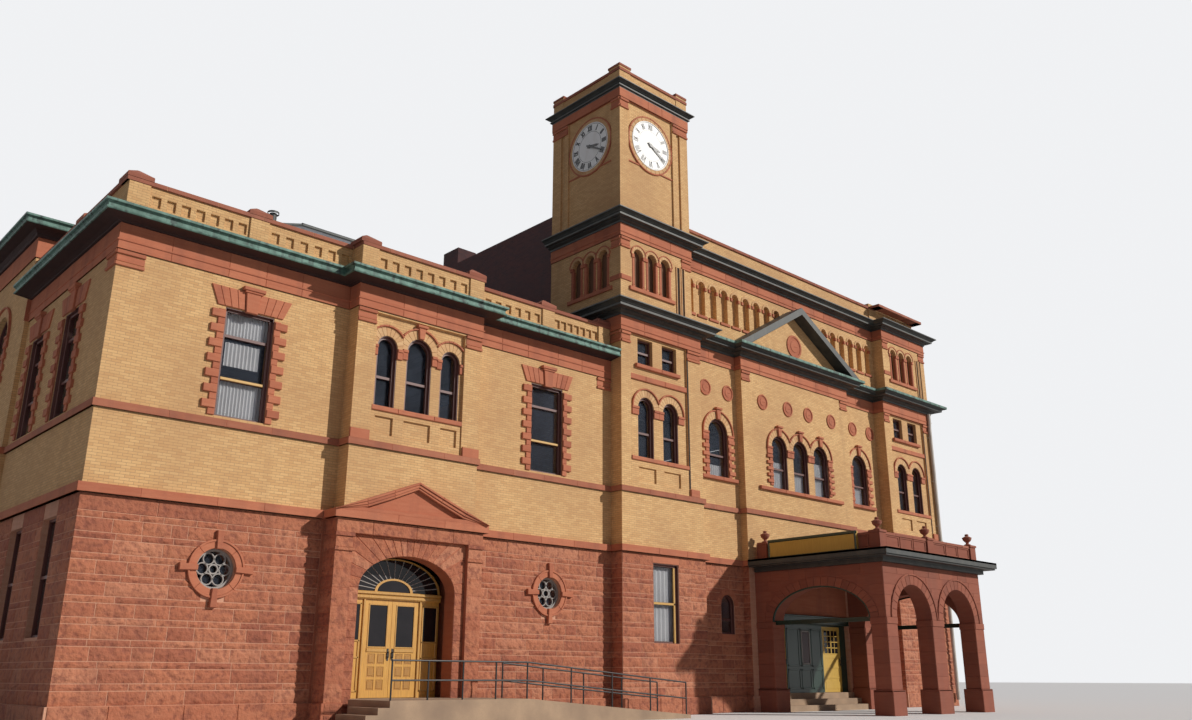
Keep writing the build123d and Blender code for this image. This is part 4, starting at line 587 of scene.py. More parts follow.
def stone(pile, u0, u1, near, deep, z0, z1, edge):
    """A squared block with a shade of its own."""
    slab(pile, u0, u1, near, deep, z0, z1, edge, rng.random())


def pairs(stops):
    """Each stop with the next one."""
    return list(zip(stops, stops[1:]))


def beside(x, side, near, far):
    """The stretch between two distances from x, on one side of it, from left to right."""
    return sorted((x + side * near, x + side * far))


print("blocks can be laid in piles")

# %% [markdown]
# ## The rock-faced storey
# The ground storey is laid in pairs of courses, one tall and one low, of stones left rough as they were
# split. Their edges are dressed flat so that the joints stay thin. A bump map would give the grain but
# not the jagged shadows under each stone, so every stone is modelled: a small grid, held down at its rim
# and pushed out at random inside. The wall behind has the pale colour of the mortar.

# %% One rough stone
SWELL = 0.034


def rough_stone(pile, u0, u1, z0, z1, grid, swell=SWELL):
    """A rock-faced stone: flat at its edges and broken into a low swelling between them."""
    across = max(2, round((u1 - u0) / grid))
    upward = 3 if z1 - z0 > 0.2 else 2
    points = []
    for row in range(upward + 1):
        for column in range(across + 1):
            edge = row in (0, upward) or column in (0, across)
            shift_u = 0 if column in (0, across) else rng.uniform(-0.03, 0.03)
            shift_z = 0 if row in (0, upward) else rng.uniform(-0.02, 0.02)
            out = 0.006 if edge else swell * rng.uniform(0.45, 1.0)
            points.append((u0 + (u1 - u0) * column / across + shift_u, -out,
                           z0 + (z1 - z0) * row / upward + shift_z))
    wide = across + 1
    corners = [row * wide + column for row in range(upward) for column in range(across)]
    faces = [[a, a + 1, a + wide + 1, a + wide] for a in corners]
    rim = list(range(wide)) + [row * wide + across for row in range(1, upward + 1)]
    rim += [upward * wide + column for column in range(across - 1, -1, -1)]
    rim += [row * wide for row in range(upward - 1, 0, -1)]
    first = len(points)
    points += [(points[n][0], 0.002, points[n][2]) for n in rim]
    for k, n in enumerate(rim):
        m = (k + 1) % len(rim)
        faces.append([n, first + k, first + m, rim[m]])
    pile.add(points, faces, rng.random())


# %% Levels and openings of the stone storey
def low(name):
    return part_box(name)[0]


def high(name):
    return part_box(name)[1]


WATER_TABLE = 0.52
STONE_TOP = high("bay_arch").z
BRICK_FOOT = high("ledge_course").z
BAND_FOOT = STONE_TOP - 0.37
HALL_RIGHT = high("hall_stone_front").x
HALL_DEEP = high("hall_stone_sides").y
PAVILION_FROM = low("corner_pavilion_walls").y
PAVILION_OUT = -low("corner_pavilion_walls").x
BAY_MID = (low("bay_arch").x + high("bay_arch").x) / 2
BAY_HALF = 2.22
WING_LEFT = low("theatre_brick_sides").x
WING_RIGHT = high("theatre_brick_sides").x
WING_WIDE = 3.9
WINGS_OUT = 0.5
RIGHT_WING = WING_RIGHT - WING_WIDE
STAGE_DEEP = high("theatre_brick_sides").y
STAGE_MID = (WING_LEFT + WING_RIGHT) / 2
CENTRE_HALF = 3.45
CENTRE_OUT = 0.3
OCULUS_Z = 3.45
OCULUS_RING = 0.66
OCULI = (3.10, 13.07)
print("stone storey from", WATER_TABLE, "to", round(STONE_TOP, 2), "m, entrance bay at", round(BAY_MID, 2))


# %% Courses that stop at openings
def round_hole(u, z, r):
    """What a round hole takes out of a course: the chord at the course's widest place."""
    def taken(z0, z1):
        off = 0 if z0 < z < z1 else min(abs(z0 - z), abs(z1 - z))
        if off >= r:
            return None
        half = math.sqrt(r * r - off * off)
        return u - half, u + half
    return taken


def square_holes(middles, half, z0, z1):
    """What a row of windows takes out of a course."""
    def hole(u):
        return lambda a, b: (u - half, u + half) if a < z1 - 0.02 and b > z0 + 0.02 else None
    return [hole(u) for u in middles]


def stretches(u0, u1, z0, z1, holes):
    """The parts of a course that are left between its holes."""
    found = [(u0, u1)]
    for hole in holes:
        cut = hole(z0, z1)
        if cut:
            pieces = []
            for a, b in found:
                if cut[0] > a:
                    pieces.append((a, min(b, cut[0])))
                if cut[1] < b:
                    pieces.append((max(a, cut[1]), b))
            found = [(a, b) for a, b in pieces if b - a > 0.06]
    return found


def along(a, b, shortest, longest):
    """Break a stretch into stones of uneven length."""
    count = max(1, round((b - a) / rng.uniform(shortest, longest)))
    stops = [a + (b - a) * n / count for n in range(count + 1)]
    uneven = (b - a) / count * 0.22
    return [stops[0]] + [s + rng.uniform(-uneven, uneven) for s in stops[1:-1]] + [stops[-1]]


def smooth_row(pile, ends, lengths, near, deep, z0, z1, edge, joint=0.003, bed=0.003):
    """One course of smooth stones of uneven length."""
    for a, b in pairs(along(*ends, *lengths)):
        stone(pile, a + joint, b - joint, near, deep, z0 + bed, z1 - bed, edge)


print("courses can be broken into stones")

# %% A wall of rough stone
COURSE_PAIRS = 9
TALL_SHARE = 0.67
ROUGH_JOINT = 0.009


def rough_wall(pile, u0, u1, holes=(), grid=0.17):
    """Courses of rough stone, a smooth band over them and the deeper course at the foot."""
    pitch = (BAND_FOOT - WATER_TABLE) / COURSE_PAIRS
    for n in range(COURSE_PAIRS):
        foot = WATER_TABLE + n * pitch
        for z0, z1 in ((foot, foot + pitch * TALL_SHARE), (foot + pitch * TALL_SHARE, foot + pitch)):
            for ends in stretches(u0, u1, z0, z1, holes):
                for a, b in pairs(along(*ends, 0.55, 1.0)):
                    rough_stone(pile, a + ROUGH_JOINT, b - ROUGH_JOINT,
                                z0 + ROUGH_JOINT, z1 - ROUGH_JOINT, grid)
    for z0, z1, near in ((BAND_FOOT, STONE_TOP, -0.012), (0.0, WATER_TABLE, -0.078)):
        for ends in stretches(u0, u1, z0, z1, holes):
            smooth_row(pile, ends, (1.1, 1.7), near, 0.0, z0, z1, 0.012)


def lay_walls(name, walls):
    """One piece from a list of walls: the placing, the two ends, and any openings and grid."""
    pile = Pile()
    for place, *wall in walls:
        pile.place = place
        rough_wall(pile, *wall)
    pile.piece(name, red_stone)


# %% Rough stone on every wall
FAR_GRID = 0.3
HALL_SIDE_WINDOWS = (1.9, 4.55, 9.5)
STAGE_STONE_WINDOWS = (3.2, 10.4, 17.6)
CENTRE_LEFT, CENTRE_RIGHT = STAGE_MID - CENTRE_HALF, STAGE_MID + CENTRE_HALF
SMALL_ARCHES = (STAGE_MID - 4.33, STAGE_MID + 4.33)
STONE_WINDOWS = (WING_LEFT + 1.96, RIGHT_WING + 1.96)
STONE_HALF = 0.59
oculus_holes = [round_hole(x, OCULUS_Z, OCULUS_RING - 0.15) for x in OCULI]
side_holes = square_holes([-y for y in HALL_SIDE_WINDOWS], 0.5, 1.9, 4.5)
small_holes = square_holes(SMALL_ARCHES, 0.36, 2.53, 3.88)
wing_holes = square_holes(STONE_WINDOWS, STONE_HALF, 2.13, 4.58)
lay_walls("hall_rough_stone", (
    (front(0), -0.01, BAY_MID - BAY_HALF - 0.06, oculus_holes),
    (front(0), BAY_MID + BAY_HALF + 0.06, HALL_RIGHT, oculus_holes),
    (left(0), -PAVILION_FROM, 0.0, side_holes),
    (left(-PAVILION_OUT), -HALL_DEEP, -PAVILION_FROM, side_holes),
    (back(HALL_DEEP), -HALL_RIGHT, PAVILION_OUT, (), FAR_GRID),
))
lay_walls("theatre_rough_stone", (
    (front(-WINGS_OUT), WING_LEFT, WING_LEFT + WING_WIDE, wing_holes[:1]),
    (front(-WINGS_OUT), RIGHT_WING, WING_RIGHT, wing_holes[1:]),
    (left(WING_LEFT), 0.0, WINGS_OUT),
    (right(WING_LEFT + WING_WIDE), -WINGS_OUT, 0.0),
    (left(RIGHT_WING), 0.0, WINGS_OUT),
    (front(0), WING_LEFT + WING_WIDE, CENTRE_LEFT, small_holes),
    (front(0), CENTRE_RIGHT, RIGHT_WING, small_holes),
    (left(CENTRE_LEFT), 0.0, CENTRE_OUT),
    (right(CENTRE_RIGHT), -CENTRE_OUT, 0.0),
))
lay_walls("far_rough_stone", (
    (right(WING_RIGHT), -WINGS_OUT, STAGE_DEEP, square_holes(STAGE_STONE_WINDOWS, 0.5, 1.9, 4.5), FAR_GRID),
    (back(STAGE_DEEP), -WING_RIGHT, -WING_LEFT, (), FAR_GRID),
    (left(WING_LEFT), -STAGE_DEEP, -HALL_DEEP, (), FAR_GRID),
))

# %% [markdown]
# ## Stones around the windows
# Each square window has a flat arch of splayed stones with a capped key, and long and short quoins down
# its sides. Round ones have a hood. The CAD model holds these as plain outlines in one piece. Here the same
# outlines are cut into their separate stones, each with its own shade and a worn edge, and the new mesh
# takes the place of the plain one.

# %% Quoins and flat arches
TRIM = 0.04
stones = Pile()
arch_bricks = Pile()


def quoins(x, half, z0, z1, count, sides=(-1, 1)):
    """A narrow upright of stone each side of an opening, with a longer block in every other course."""
    pitch = (z1 - z0) / count
    for n in range(count):
        z = z0 + n * pitch
        for side in sides:
            a, b = beside(x, side, half, half + 0.17)
            stone(stones, a, b, -TRIM, 0, z + 0.002, z + pitch - 0.002, 0.005)
            a, b = beside(x, side, half + 0.01, half + 0.34)
            stone(stones, a, b, -TRIM - 0.03, 0, z + pitch * 0.42, z + pitch * 0.92, 0.010)


def flat_arch(x, half, z, tall=0.48, wedges=4):
    """Splayed stones either side of a key with a projecting cap."""
    top = z + tall
    for side in (-1, 1):
        for n in range(wedges):
            low_a, low_b = (0.16 + (half + 0.06) * k / wedges for k in (n, n + 1))
            high_a, high_b = (0.20 + (half + 0.22) * k / wedges for k in (n, n + 1))
            outline = [(low_a, z), (low_b - 0.008, z), (high_b - 0.008, top), (high_a, top)]
            if side < 0:
                outline = [(-u, w) for u, w in reversed(outline)]
            block(stones, [(x + u, w) for u, w in outline], -TRIM, 0, 0.009, rng.random())
    key = [(-0.15, z - 0.06), (0.15, z - 0.06), (0.19, top + 0.02), (-0.19, top + 0.02)]
    block(stones, [(x + u, w) for u, w in key], -TRIM - 0.05, 0, 0.012, rng.random())
    stone(stones, x - 0.28, x + 0.28, -TRIM - 0.11, 0, top + 0.02, top + 0.11, 0.012)
    stone(stones, x - 0.23, x + 0.23, -TRIM - 0.08, 0, top - 0.03, top + 0.02, 0.008)


print("quoins and flat arches can be cut")

# %% Rings and hoods
def turns(count, start=0.0, stop=2 * math.pi, gap=0.0):
    """The two angles of each stone of a ring, measured from the right-hand side upwards."""
    for n in range(count):
        yield (start + (stop - start) * n / count + gap, start + (stop - start) * (n + 1) / count - gap)


def ring_part(pile, x, z, r0, r1, a0, a1, near, deep, tone, edge=0.006, steps=3):
    """One stone of a ring, between two angles."""
    angles = [a0 + (a1 - a0) * k / steps for k in range(steps + 1)]
    outline = [(x + r1 * math.cos(a), z + r1 * math.sin(a)) for a in angles]
    outline += [(x + r0 * math.cos(a), z + r0 * math.sin(a)) for a in reversed(angles)]
    block(pile, outline, near, deep, edge, tone)


def plain_ring(pile, x, z, r0, r1, parts, near, deep, tone, edge, steps, stop=2 * math.pi):
    """A ring or half ring of one tone."""
    for a0, a1 in turns(parts, 0.0, stop):
        ring_part(pile, x, z, r0, r1, a0, a1, near, deep, tone, edge, steps)


def stone_ring(pile, x, z, r0, r1, angles, near, edge, steps, deep=0):
    """A ring of stones, each with a shade of its own."""
    for a0, a1 in angles:
        ring_part(pile, x, z, r0, r1, a0, a1, near, deep, rng.random(), edge, steps)


def hood(x, half, spring, rim, bricks=13, room=(9, 9), label=0.05):
    """A hood over a round head: a rim of brick on end with a thin stone label outside it, on two imposts.
    The hood stops where its room to the left or right ends, so two neighbours meet in a valley."""

    def reach(angle, wanted):
        side = room[0] if math.cos(angle) < 0 else room[1]
        return min(wanted, side / max(abs(math.cos(angle)), 1e-6))

    for a0, a1 in turns(bricks, stop=math.pi, gap=0.008):
        outline = [(x + r * math.cos(a), spring + r * math.sin(a))
                   for a, r in ((a0, reach(a0, half + rim)), (a1, reach(a1, half + rim)), (a1, half), (a0, half))]
        block(arch_bricks, outline, -TRIM * 0.55, 0, 0.004, rng.random())
    middle = half + rim + label / 2
    start, stop = (math.acos(min(1.0, side / middle)) for side in (room[1], room[0]))
    stone_ring(stones, x, spring, half + rim, half + rim + label, turns(7, start, math.pi - stop, 0.003),
               -TRIM - 0.03, 0.006, 4)
    for side, space in ((-1, room[0]), (1, room[1])):
        far = min(half + rim + label, space)
        for z0, z1, out, more in ((spring - 0.28, spring - 0.08, 0.01, 0.0),
                                  (spring - 0.08, spring, 0.035, 0.015)):
            a, b = beside(x, side, half - 0.01, min(far + more, space))
            stone(stones, a, b, -TRIM - out, 0, z0, z1, 0.008)


def capped_key(x, z, tall, half=0.075):
    """A tapered key with a cap that makes it a T."""
    key = [(-half, z), (half, z), (half * 1.5, z + tall), (-half * 1.5, z + tall)]
    block(stones, [(x + u, w) for u, w in key], -TRIM - 0.06, 0, 0.01, rng.random())
    stone(stones, x - half * 2.2, x + half * 2.2, -TRIM - 0.10, 0, z + tall, z + tall + 0.075, 0.01)


def sill_stone(x0, x1, z, longest=1.3):
    smooth_row(stones, (x0, x1), (longest * 0.8, longest), -0.11, 0, z - 0.13, z, 0.014, 0.002, 0)


print("hoods, keys and sills can be cut")

# %% Square windows of the brick storey
SASH_HALF = 0.63
SASH_FOOT = 6.98
SASH_TOP = 9.69
HALL_WINDOWS = (3.26, 12.88)
SIDE_WINDOWS = (2.75, 5.56)
STAGE_SIDE_WINDOWS = tuple(3.2 + 3.6 * n for n in range(5))
BACK_WINDOWS = (6.5, 9.4, 12.3)
square_windows = [(front(0), x) for x in HALL_WINDOWS] + [(left(0), -y) for y in SIDE_WINDOWS]
square_windows += [(right(WING_RIGHT), y) for y in STAGE_SIDE_WINDOWS]
for place, x in square_windows:
    stones.place = place
    quoins(x, SASH_HALF, SASH_FOOT, SASH_TOP - 0.08, 7)
    flat_arch(x, SASH_HALF, SASH_TOP + 0.02)
stones.place = back(HALL_DEEP)
for x in BACK_WINDOWS:
    flat_arch(-x, SASH_HALF, SASH_TOP + 0.02)
print("square windows:", len(square_windows) + len(BACK_WINDOWS))

# %% [markdown]
# ## Round-headed windows
# The bay, the wings, the recesses beside the middle and the middle itself have windows with round heads,
# alone or in groups. In a group the hoods meet in a valley between the windows. A hood could be cut off
# by hand there, but it is easier to tell it how much room it has, and let it stop by itself. Below the
# sills of the bay and the wings the brickwork stands forward, but for a row of sunk panels.

# %% Round-headed windows
BELT_TOP = high("belt_course").z
WING_SILL = BELT_TOP + 1.03
BAY_SILL = BELT_TOP + 0.97
CENTRE_SILL = WING_SILL - 0.1
PANEL_FRONT = -0.4
WING_FRONT = -WINGS_OUT + 0.07
BAY_SIDE = 1.02
BAY_WINDOWS = ((BAY_MID - BAY_SIDE, 0.31, 9.53), (BAY_MID, 0.40, 9.57), (BAY_MID + BAY_SIDE, 0.31, 9.53))
BAY_ROOM = ((0.41, 0.465), (0.555, 0.555), (0.465, 0.41))
WING_HALF, WING_SPRING = 0.37, 9.61
WING_ARCHES = (WING_LEFT + 1.2, WING_LEFT + 2.39, WING_RIGHT - 2.7, WING_RIGHT - 1.51)
WING_ROOM = ((9, 0.595), (0.595, 9)) * 2
WING_PANELS = (WING_LEFT + 0.45, RIGHT_WING + 0.45)
WING_PANEL_WIDE = 2.75
RECESS_HALF, RECESS_SPRING = 0.53, 9.52
RECESS_ARCHES = (STAGE_MID - 4.545, STAGE_MID + 4.545)
CENTRE_HEAD, CENTRE_SPRING = 0.47, 9.4
CENTRE_ARCHES = (STAGE_MID - 1.33, STAGE_MID, STAGE_MID + 1.33)
CENTRE_ROOM = ((9, 0.665), (0.665, 0.665), (0.665, 9))
PANEL_FOOT, PANEL_HEAD = 7.12, 7.60
PANEL_OUT = 0.06
raised_bricks = Pile()


def at(place):
    stones.place = arch_bricks.place = raised_bricks.place = place


def sunk_panels(x0, x1, top, panels):
    """Brickwork laid forward of the wall below a sill, but for a row of panels left sunk in it."""
    slab(raised_bricks, x0, x1, -PANEL_OUT, 0, BELT_TOP - 0.002, PANEL_FOOT, 0.004)
    slab(raised_bricks, x0, x1, -PANEL_OUT, 0, PANEL_HEAD, top, 0.004)
    edges = [x0] + [x + side * half for x, half in panels for side in (-1, 1)] + [x1]
    for a, b in zip(edges[::2], edges[1::2]):
        slab(raised_bricks, a, b, -PANEL_OUT, 0, PANEL_FOOT - 0.002, PANEL_HEAD + 0.002, 0.004)


at(front(PANEL_FRONT))
for (x, half, spring), room in zip(BAY_WINDOWS, BAY_ROOM):
    hood(x, half, spring, 0.25, 11, room)
capped_key(BAY_MID, 9.96, 0.32)
sill_stone(BAY_MID - 1.435, BAY_MID + 1.435, BAY_SILL)
sunk_panels(BAY_MID - 1.43, BAY_MID + 1.43, BAY_SILL - 0.13,
            [(BAY_MID - BAY_SIDE, 0.27), (BAY_MID, 0.42), (BAY_MID + BAY_SIDE, 0.27)])
at(front(WING_FRONT))
for x, room in zip(WING_ARCHES, WING_ROOM):
    hood(x, WING_HALF, WING_SPRING, 0.25, room=room)
for x0 in WING_PANELS:
    x1 = x0 + WING_PANEL_WIDE
    pair = [x for x in WING_ARCHES if x0 < x < x1]
    sunk_panels(x0 + 0.01, x1 - 0.01, WING_SILL - 0.13, [(x, 0.40) for x in pair])
    sill_stone(x0, x1, WING_SILL)
    sill_stone(x0 + 0.25, x0 + 2.40, 11.08)
    smooth_row(stones, (x0, x1), (0.8, 1.0), -0.06, 0, 10.52, 10.70, 0.012, 0.002, 0)
at(front(0))
for x in RECESS_ARCHES:
    quoins(x, RECESS_HALF, WING_SILL, 9.36, 5)
    hood(x, RECESS_HALF, RECESS_SPRING, 0.27, 15)
    capped_key(x, 10.02, 0.36)
    sill_stone(x - 0.98, x + 0.98, WING_SILL)
at(front(-CENTRE_OUT))
for x, room in zip(CENTRE_ARCHES, CENTRE_ROOM):
    hood(x, CENTRE_HEAD, CENTRE_SPRING, 0.25, room=room)
    capped_key(x, 9.85, 0.33)
quoins(CENTRE_ARCHES[0], CENTRE_HEAD, WING_SILL, 9.10, 5, (-1,))
quoins(CENTRE_ARCHES[2], CENTRE_HEAD, WING_SILL, 9.10, 5, (1,))
sill_stone(STAGE_MID - 2.65, STAGE_MID + 2.65, CENTRE_SILL)
print("hoods over", len(BAY_WINDOWS + WING_ARCHES + RECESS_ARCHES + CENTRE_ARCHES), "windows")

# %% Small windows of the stone storey and the corner pavilion's window
SMALL_HALF, SMALL_SPRING = 0.35, 3.49
PAVILION_WINDOW = -9.5
at(front(0))
for x in SMALL_ARCHES:
    stone(stones, x - 0.36, x + 0.36, -0.02, 0, 2.283, 2.527, 0.008)
    stone_ring(stones, x, SMALL_SPRING, SMALL_HALF + 0.002, 0.56, turns(7, stop=math.pi, gap=0.006),
               -0.02, 0.006, 3)
at(front(-WINGS_OUT))
for x in STONE_WINDOWS:
    slab(stones, x - 0.62, x + 0.62, -0.014, 0, 4.585, STONE_TOP - 0.004, 0.008, 0.4)
at(left(-PAVILION_OUT))
quoins(PAVILION_WINDOW, 0.8, 7.8, 10.24, 7)
hood(PAVILION_WINDOW, 0.8, 10.4, 0.25, 21)
sill_stone(PAVILION_WINDOW - 1.15, PAVILION_WINDOW + 1.15, 7.8)
print("round heads done")

# %% [markdown]
# ## Round windows, medallions and dials
# The round windows of the stone storey sit in a ring with four stones set across it, terracotta
# medallions fill the wall over the arches, and each clock dial has a rim of brick on end. All are rings,
# so they are cut with the same helper as the hoods. This is the last of the stones that the CAD model
# holds as one plain piece, so the new mesh is made here and takes its place.

# %% Round windows, medallions and dial rims
def key_block(x, z, r0, r1, angle, half, out):
    """A projecting stone set across a ring, pointing outwards at the angle."""
    turn = Matrix.Translation((x, 0, z)) @ Matrix.Rotation(-angle, 4, "Y")
    outline = [(r0, -half), (r1, -half * 1.35), (r1, half * 1.35), (r0, half)]
    block(stones, outline, -TRIM - out, 0, 0.01, rng.random(), turn)


def medallion(x, z, r):
    """A terracotta roundel: a darker rim, a hollow and a low boss."""
    plain_ring(stones, x, z, r * 0.80, r, 4, -TRIM, 0, 0.0, 0.01, 6)
    plain_ring(stones, x, z, 0.001, r * 0.82, 1, -TRIM * 0.35, 0, 0.9, 0.001, 24)
    plain_ring(stones, x, z, 0.001, r * 0.5, 1, -TRIM * 0.75, 0, 0.7, 0.012, 20)


at(front(0))
for x in OCULI:
    for a0, a1 in turns(8, gap=0.004):
        ring_part(stones, x, OCULUS_Z, 0.46, OCULUS_RING - 0.05, a0, a1, -TRIM - 0.012, 0, 0.45, 0.008, 6)
        ring_part(stones, x, OCULUS_Z, OCULUS_RING - 0.05, OCULUS_RING, a0, a1, -TRIM - 0.035, 0, 0.6, 0.008, 6)
    for quarter in range(4):
        key_block(x, OCULUS_Z, 0.44, 0.86, quarter * math.pi / 2, 0.06, 0.07)
for x in (-5.17, -3.92, 4.25, 5.55):
    medallion(STAGE_MID + x, 11.13, 0.30)
at(front(-CENTRE_OUT))
for x in (-2.24, -0.665, 0.665, 2.24):
    medallion(STAGE_MID + x, 11.05, 0.30)
medallion(STAGE_MID, 13.75, 0.48)
DIAL_Z = 19.51
dial_places = (Matrix.Translation((WING_LEFT + 1.58, -0.44, DIAL_Z)),
               left(WING_LEFT + 0.06) @ Matrix.Translation((-1.08, 0, DIAL_Z)))
for place in dial_places:
    at(place)
    stone_ring(arch_bricks, 0, 0, 0.935, 1.075, turns(28, gap=0.005), -TRIM, 0.006, 2)
    stone_ring(stones, 0, 0, 1.075, 1.13, turns(16, gap=0.004), -TRIM - 0.012, 0.008, 3)
stones.piece("window_stones", dressed_stone, stands_for=("window_stone",))
arch_bricks.piece("arch_bricks", arch_brick, slot="brick")
raised_bricks.piece("raised_brickwork", buff_brick, slot="brick")

# %% [markdown]
# ## Window linings
# Seen from below, the right-hand reveal of every window is a broad dark band, most of it shade. Both
# reveals and the head are lined with boards painted a dark red, with a frame inside them: partly a real
# frame and partly painted shade, since the shade alone would leave the band the colour of the brick.

# %% Linings, frames and yellow rails
SASH_PLANE = 0.128
linings = Pile()
rails = Pile()


def lining(place, x, half, z0, z1, round_head=False):
    """Dark red boards on the sides and the head of an opening, and a frame inside them just before the sash; partly a
    real frame, partly painted shade.
    """
    linings.place = place
    for wide, near in ((0.025, 0.012), (0.085, 0.085)):
        for side in (-1, 1):
            a, b = beside(x, side, half - 0.002, half - wide)
            slab(linings, a, b, near, SASH_PLANE, z0 + 0.002, z1, 0.004)
        if round_head:
            plain_ring(linings, x, z1, half - wide, half - 0.002, 2, near, SASH_PLANE, 0.5, 0.003, 8, math.pi)
        else:
            slab(linings, x - half, x + half, near, SASH_PLANE, z1 - wide, z1 - 0.002, 0.004)


def yellow_rail(place, x0, x1, z0, z1):
    rails.place = place
    slab(rails, x0, x1, 0.084, SASH_PLANE, z0, z1, 0.006)


for place, x in square_windows:
    lining(place, x, SASH_HALF, SASH_FOOT, SASH_TOP)
for x, half, spring in BAY_WINDOWS:
    lining(front(PANEL_FRONT), x, half, BAY_SILL, spring, True)
for middles, y, half, sill, spring in (
        (WING_ARCHES, WING_FRONT, WING_HALF, WING_SILL, WING_SPRING),
        (RECESS_ARCHES, 0, RECESS_HALF, WING_SILL, RECESS_SPRING),
        (CENTRE_ARCHES, -CENTRE_OUT, CENTRE_HEAD, CENTRE_SILL, CENTRE_SPRING),
        (SMALL_ARCHES, 0, SMALL_HALF, 2.53, SMALL_SPRING)):
    for x in middles:
        lining(front(y), x, half, sill, spring, True)
for x in STONE_WINDOWS:
    lining(front(-WINGS_OUT), x, STONE_HALF, 2.13, 4.58)
    yellow_rail(front(-WINGS_OUT), x - 0.50, x + 0.50, 3.31, 3.38)
    yellow_rail(front(-WINGS_OUT), x + 0.43, x + 0.50, 2.14, 4.49)
for x in HALL_WINDOWS:
    yellow_rail(front(0), x - 0.54, x + 0.54, 7.90, 7.965)
linings.piece("window_linings_and_painted_shade", window_paint, slot="painted_wood")
rails.piece("yellow_window_rails", ochre_paint, slot="painted_wood")

# %% [markdown]
# ## Slots and feet beside the wing panels
# A narrow upright slot runs up the right of each wing's panel and ends on a red block. From below
# the slot shows only as a line of shade, so it is a thin strip of painted shade laid on the wall, not a cut.

# %% Painted shade in the slots beside the wing panels, and their red feet
slots = Pile(front(-WINGS_OUT))
feet = Pile(front(-WINGS_OUT))
for x in (WING_LEFT, RIGHT_WING):
    slab(slots, x + 3.20, x + 3.27, -0.004, 0, BELT_TOP + 0.26, 12.1, 0.001)
    slab(feet, x + 3.22, x + 3.66, -0.07, 0, BELT_TOP - 0.002, BELT_TOP + 0.25, 0.012, 0.6)
slots.piece("panel_slot_painted_shade", deep_shade)
feet.piece("panel_feet", dressed_stone)

# %% [markdown]
# ## Entrance bay
# The bay stands forward of the wall: two pilasters of rough stone, and between them a smooth field whose
# long wedge-shaped stones fan out from the oval arch to the square frame around it. The joints all point at
# the middle of the arch, which is how a mason sets them out.

# %% Wedges that fan out from an arch
ARCH_SPRING = 3.2
ARCH_HALF = 1.435
ARCH_RISE = 0.86
ENTABLATURE = 4.5
BAY_FRONT = -0.6
FIELD_FRONT = -0.48
FIELD_HALF = 1.74
FIELD_OUT = 0.014
bay = Pile(front(FIELD_FRONT))


def fan_wedges(pile, wall_half, top, count, gap=0.007):
    """Stones between the oval arch and the square frame round it."""
    corner = math.atan2(top - ARCH_SPRING, wall_half)

    def outer(angle):
        if angle <= corner:
            return BAY_MID + wall_half, ARCH_SPRING + wall_half * math.tan(angle)
        if angle >= math.pi - corner:
            return BAY_MID - wall_half, ARCH_SPRING - wall_half * math.tan(angle)
        return BAY_MID + (top - ARCH_SPRING) / math.tan(angle), top

    def inner(angle):
        reach = 1 / math.hypot(math.cos(angle) / ARCH_HALF, math.sin(angle) / ARCH_RISE)
        return BAY_MID + reach * math.cos(angle), ARCH_SPRING + reach * math.sin(angle)

    for a0, a1 in turns(count, stop=math.pi):
        outline = [outer(a0 + gap)] + [outer(turn) for turn in (corner, math.pi - corner) if a0 < turn < a1]
        outline += [outer(a1 - gap), inner(a1 - gap), inner((a0 + a1) / 2), inner(a0 + gap)]
        block(pile, outline, -FIELD_OUT, 0, 0.008, rng.random())


def coursed(pile, x0, x1, z0, z1, near, deep, tall, edge=0.009):
    """Smooth stones of one width, one above the other."""
    count = max(1, round((z1 - z0) / tall))
    for n in range(count):
        a, b = (z0 + (z1 - z0) * k / count for k in (n, n + 1))
        stone(pile, x0 + 0.003, x1 - 0.003, near, deep, a + 0.003, b - 0.003, edge)


fan_wedges(bay, FIELD_HALF - 0.002, ENTABLATURE - 0.002, 19)
for side in (-1, 1):
    a, b = beside(BAY_MID, side, ARCH_HALF + 0.002, FIELD_HALF - 0.002)
    coursed(bay, a, b, 0.02, ARCH_SPRING, -FIELD_OUT, 0, 0.42)

# %% Pilasters and the stones over them
PILASTER_TOP = 4.05
bay.place = front(BAY_FRONT)
for side in (-1, 1):
    a, b = beside(BAY_MID, side, BAY_HALF, FIELD_HALF)
    coursed(bay, a, b, 0.0, WATER_TABLE, -0.07, 0, 0.3, 0.014)
    pitch = (PILASTER_TOP - WATER_TABLE) / 8
    for n in range(8):
        z = WATER_TABLE + n * pitch
        rough_stone(bay, a + 0.004, b - 0.004, z + 0.005, z + pitch - 0.005, 0.12, 0.028)
    slab(bay, a - 0.03, b + 0.03, -0.05, 0, PILASTER_TOP, 4.13, 0.012, 0.3)
    coursed(bay, a, b, 4.13, 4.40, -0.02, 0, 0.27)
    slab(bay, a - 0.03, b + 0.03, -0.06, 0, 4.40, ENTABLATURE, 0.012, 0.5)
smooth_row(bay, (BAY_MID - BAY_HALF, BAY_MID + BAY_HALF), (1.0, 1.3), -0.02, 0, ENTABLATURE, STONE_TOP, 0.01,
           0.002, 0)
for place, a, b in ((left(BAY_MID - BAY_HALF), 0.0, 0.6), (right(BAY_MID + BAY_HALF), -0.6, 0.0)):
    bay.place = place
    rough_wall(bay, a, b, grid=0.12)
bay.piece("entrance_bay_stones", red_stone)

# %% [markdown]
# ## Pediment
# Three mouldings climb each slope of the pediment, each standing further out than the one below. They
# are drawn level, as if the slope lay flat, then turned to its angle and trimmed at its foot and its peak.

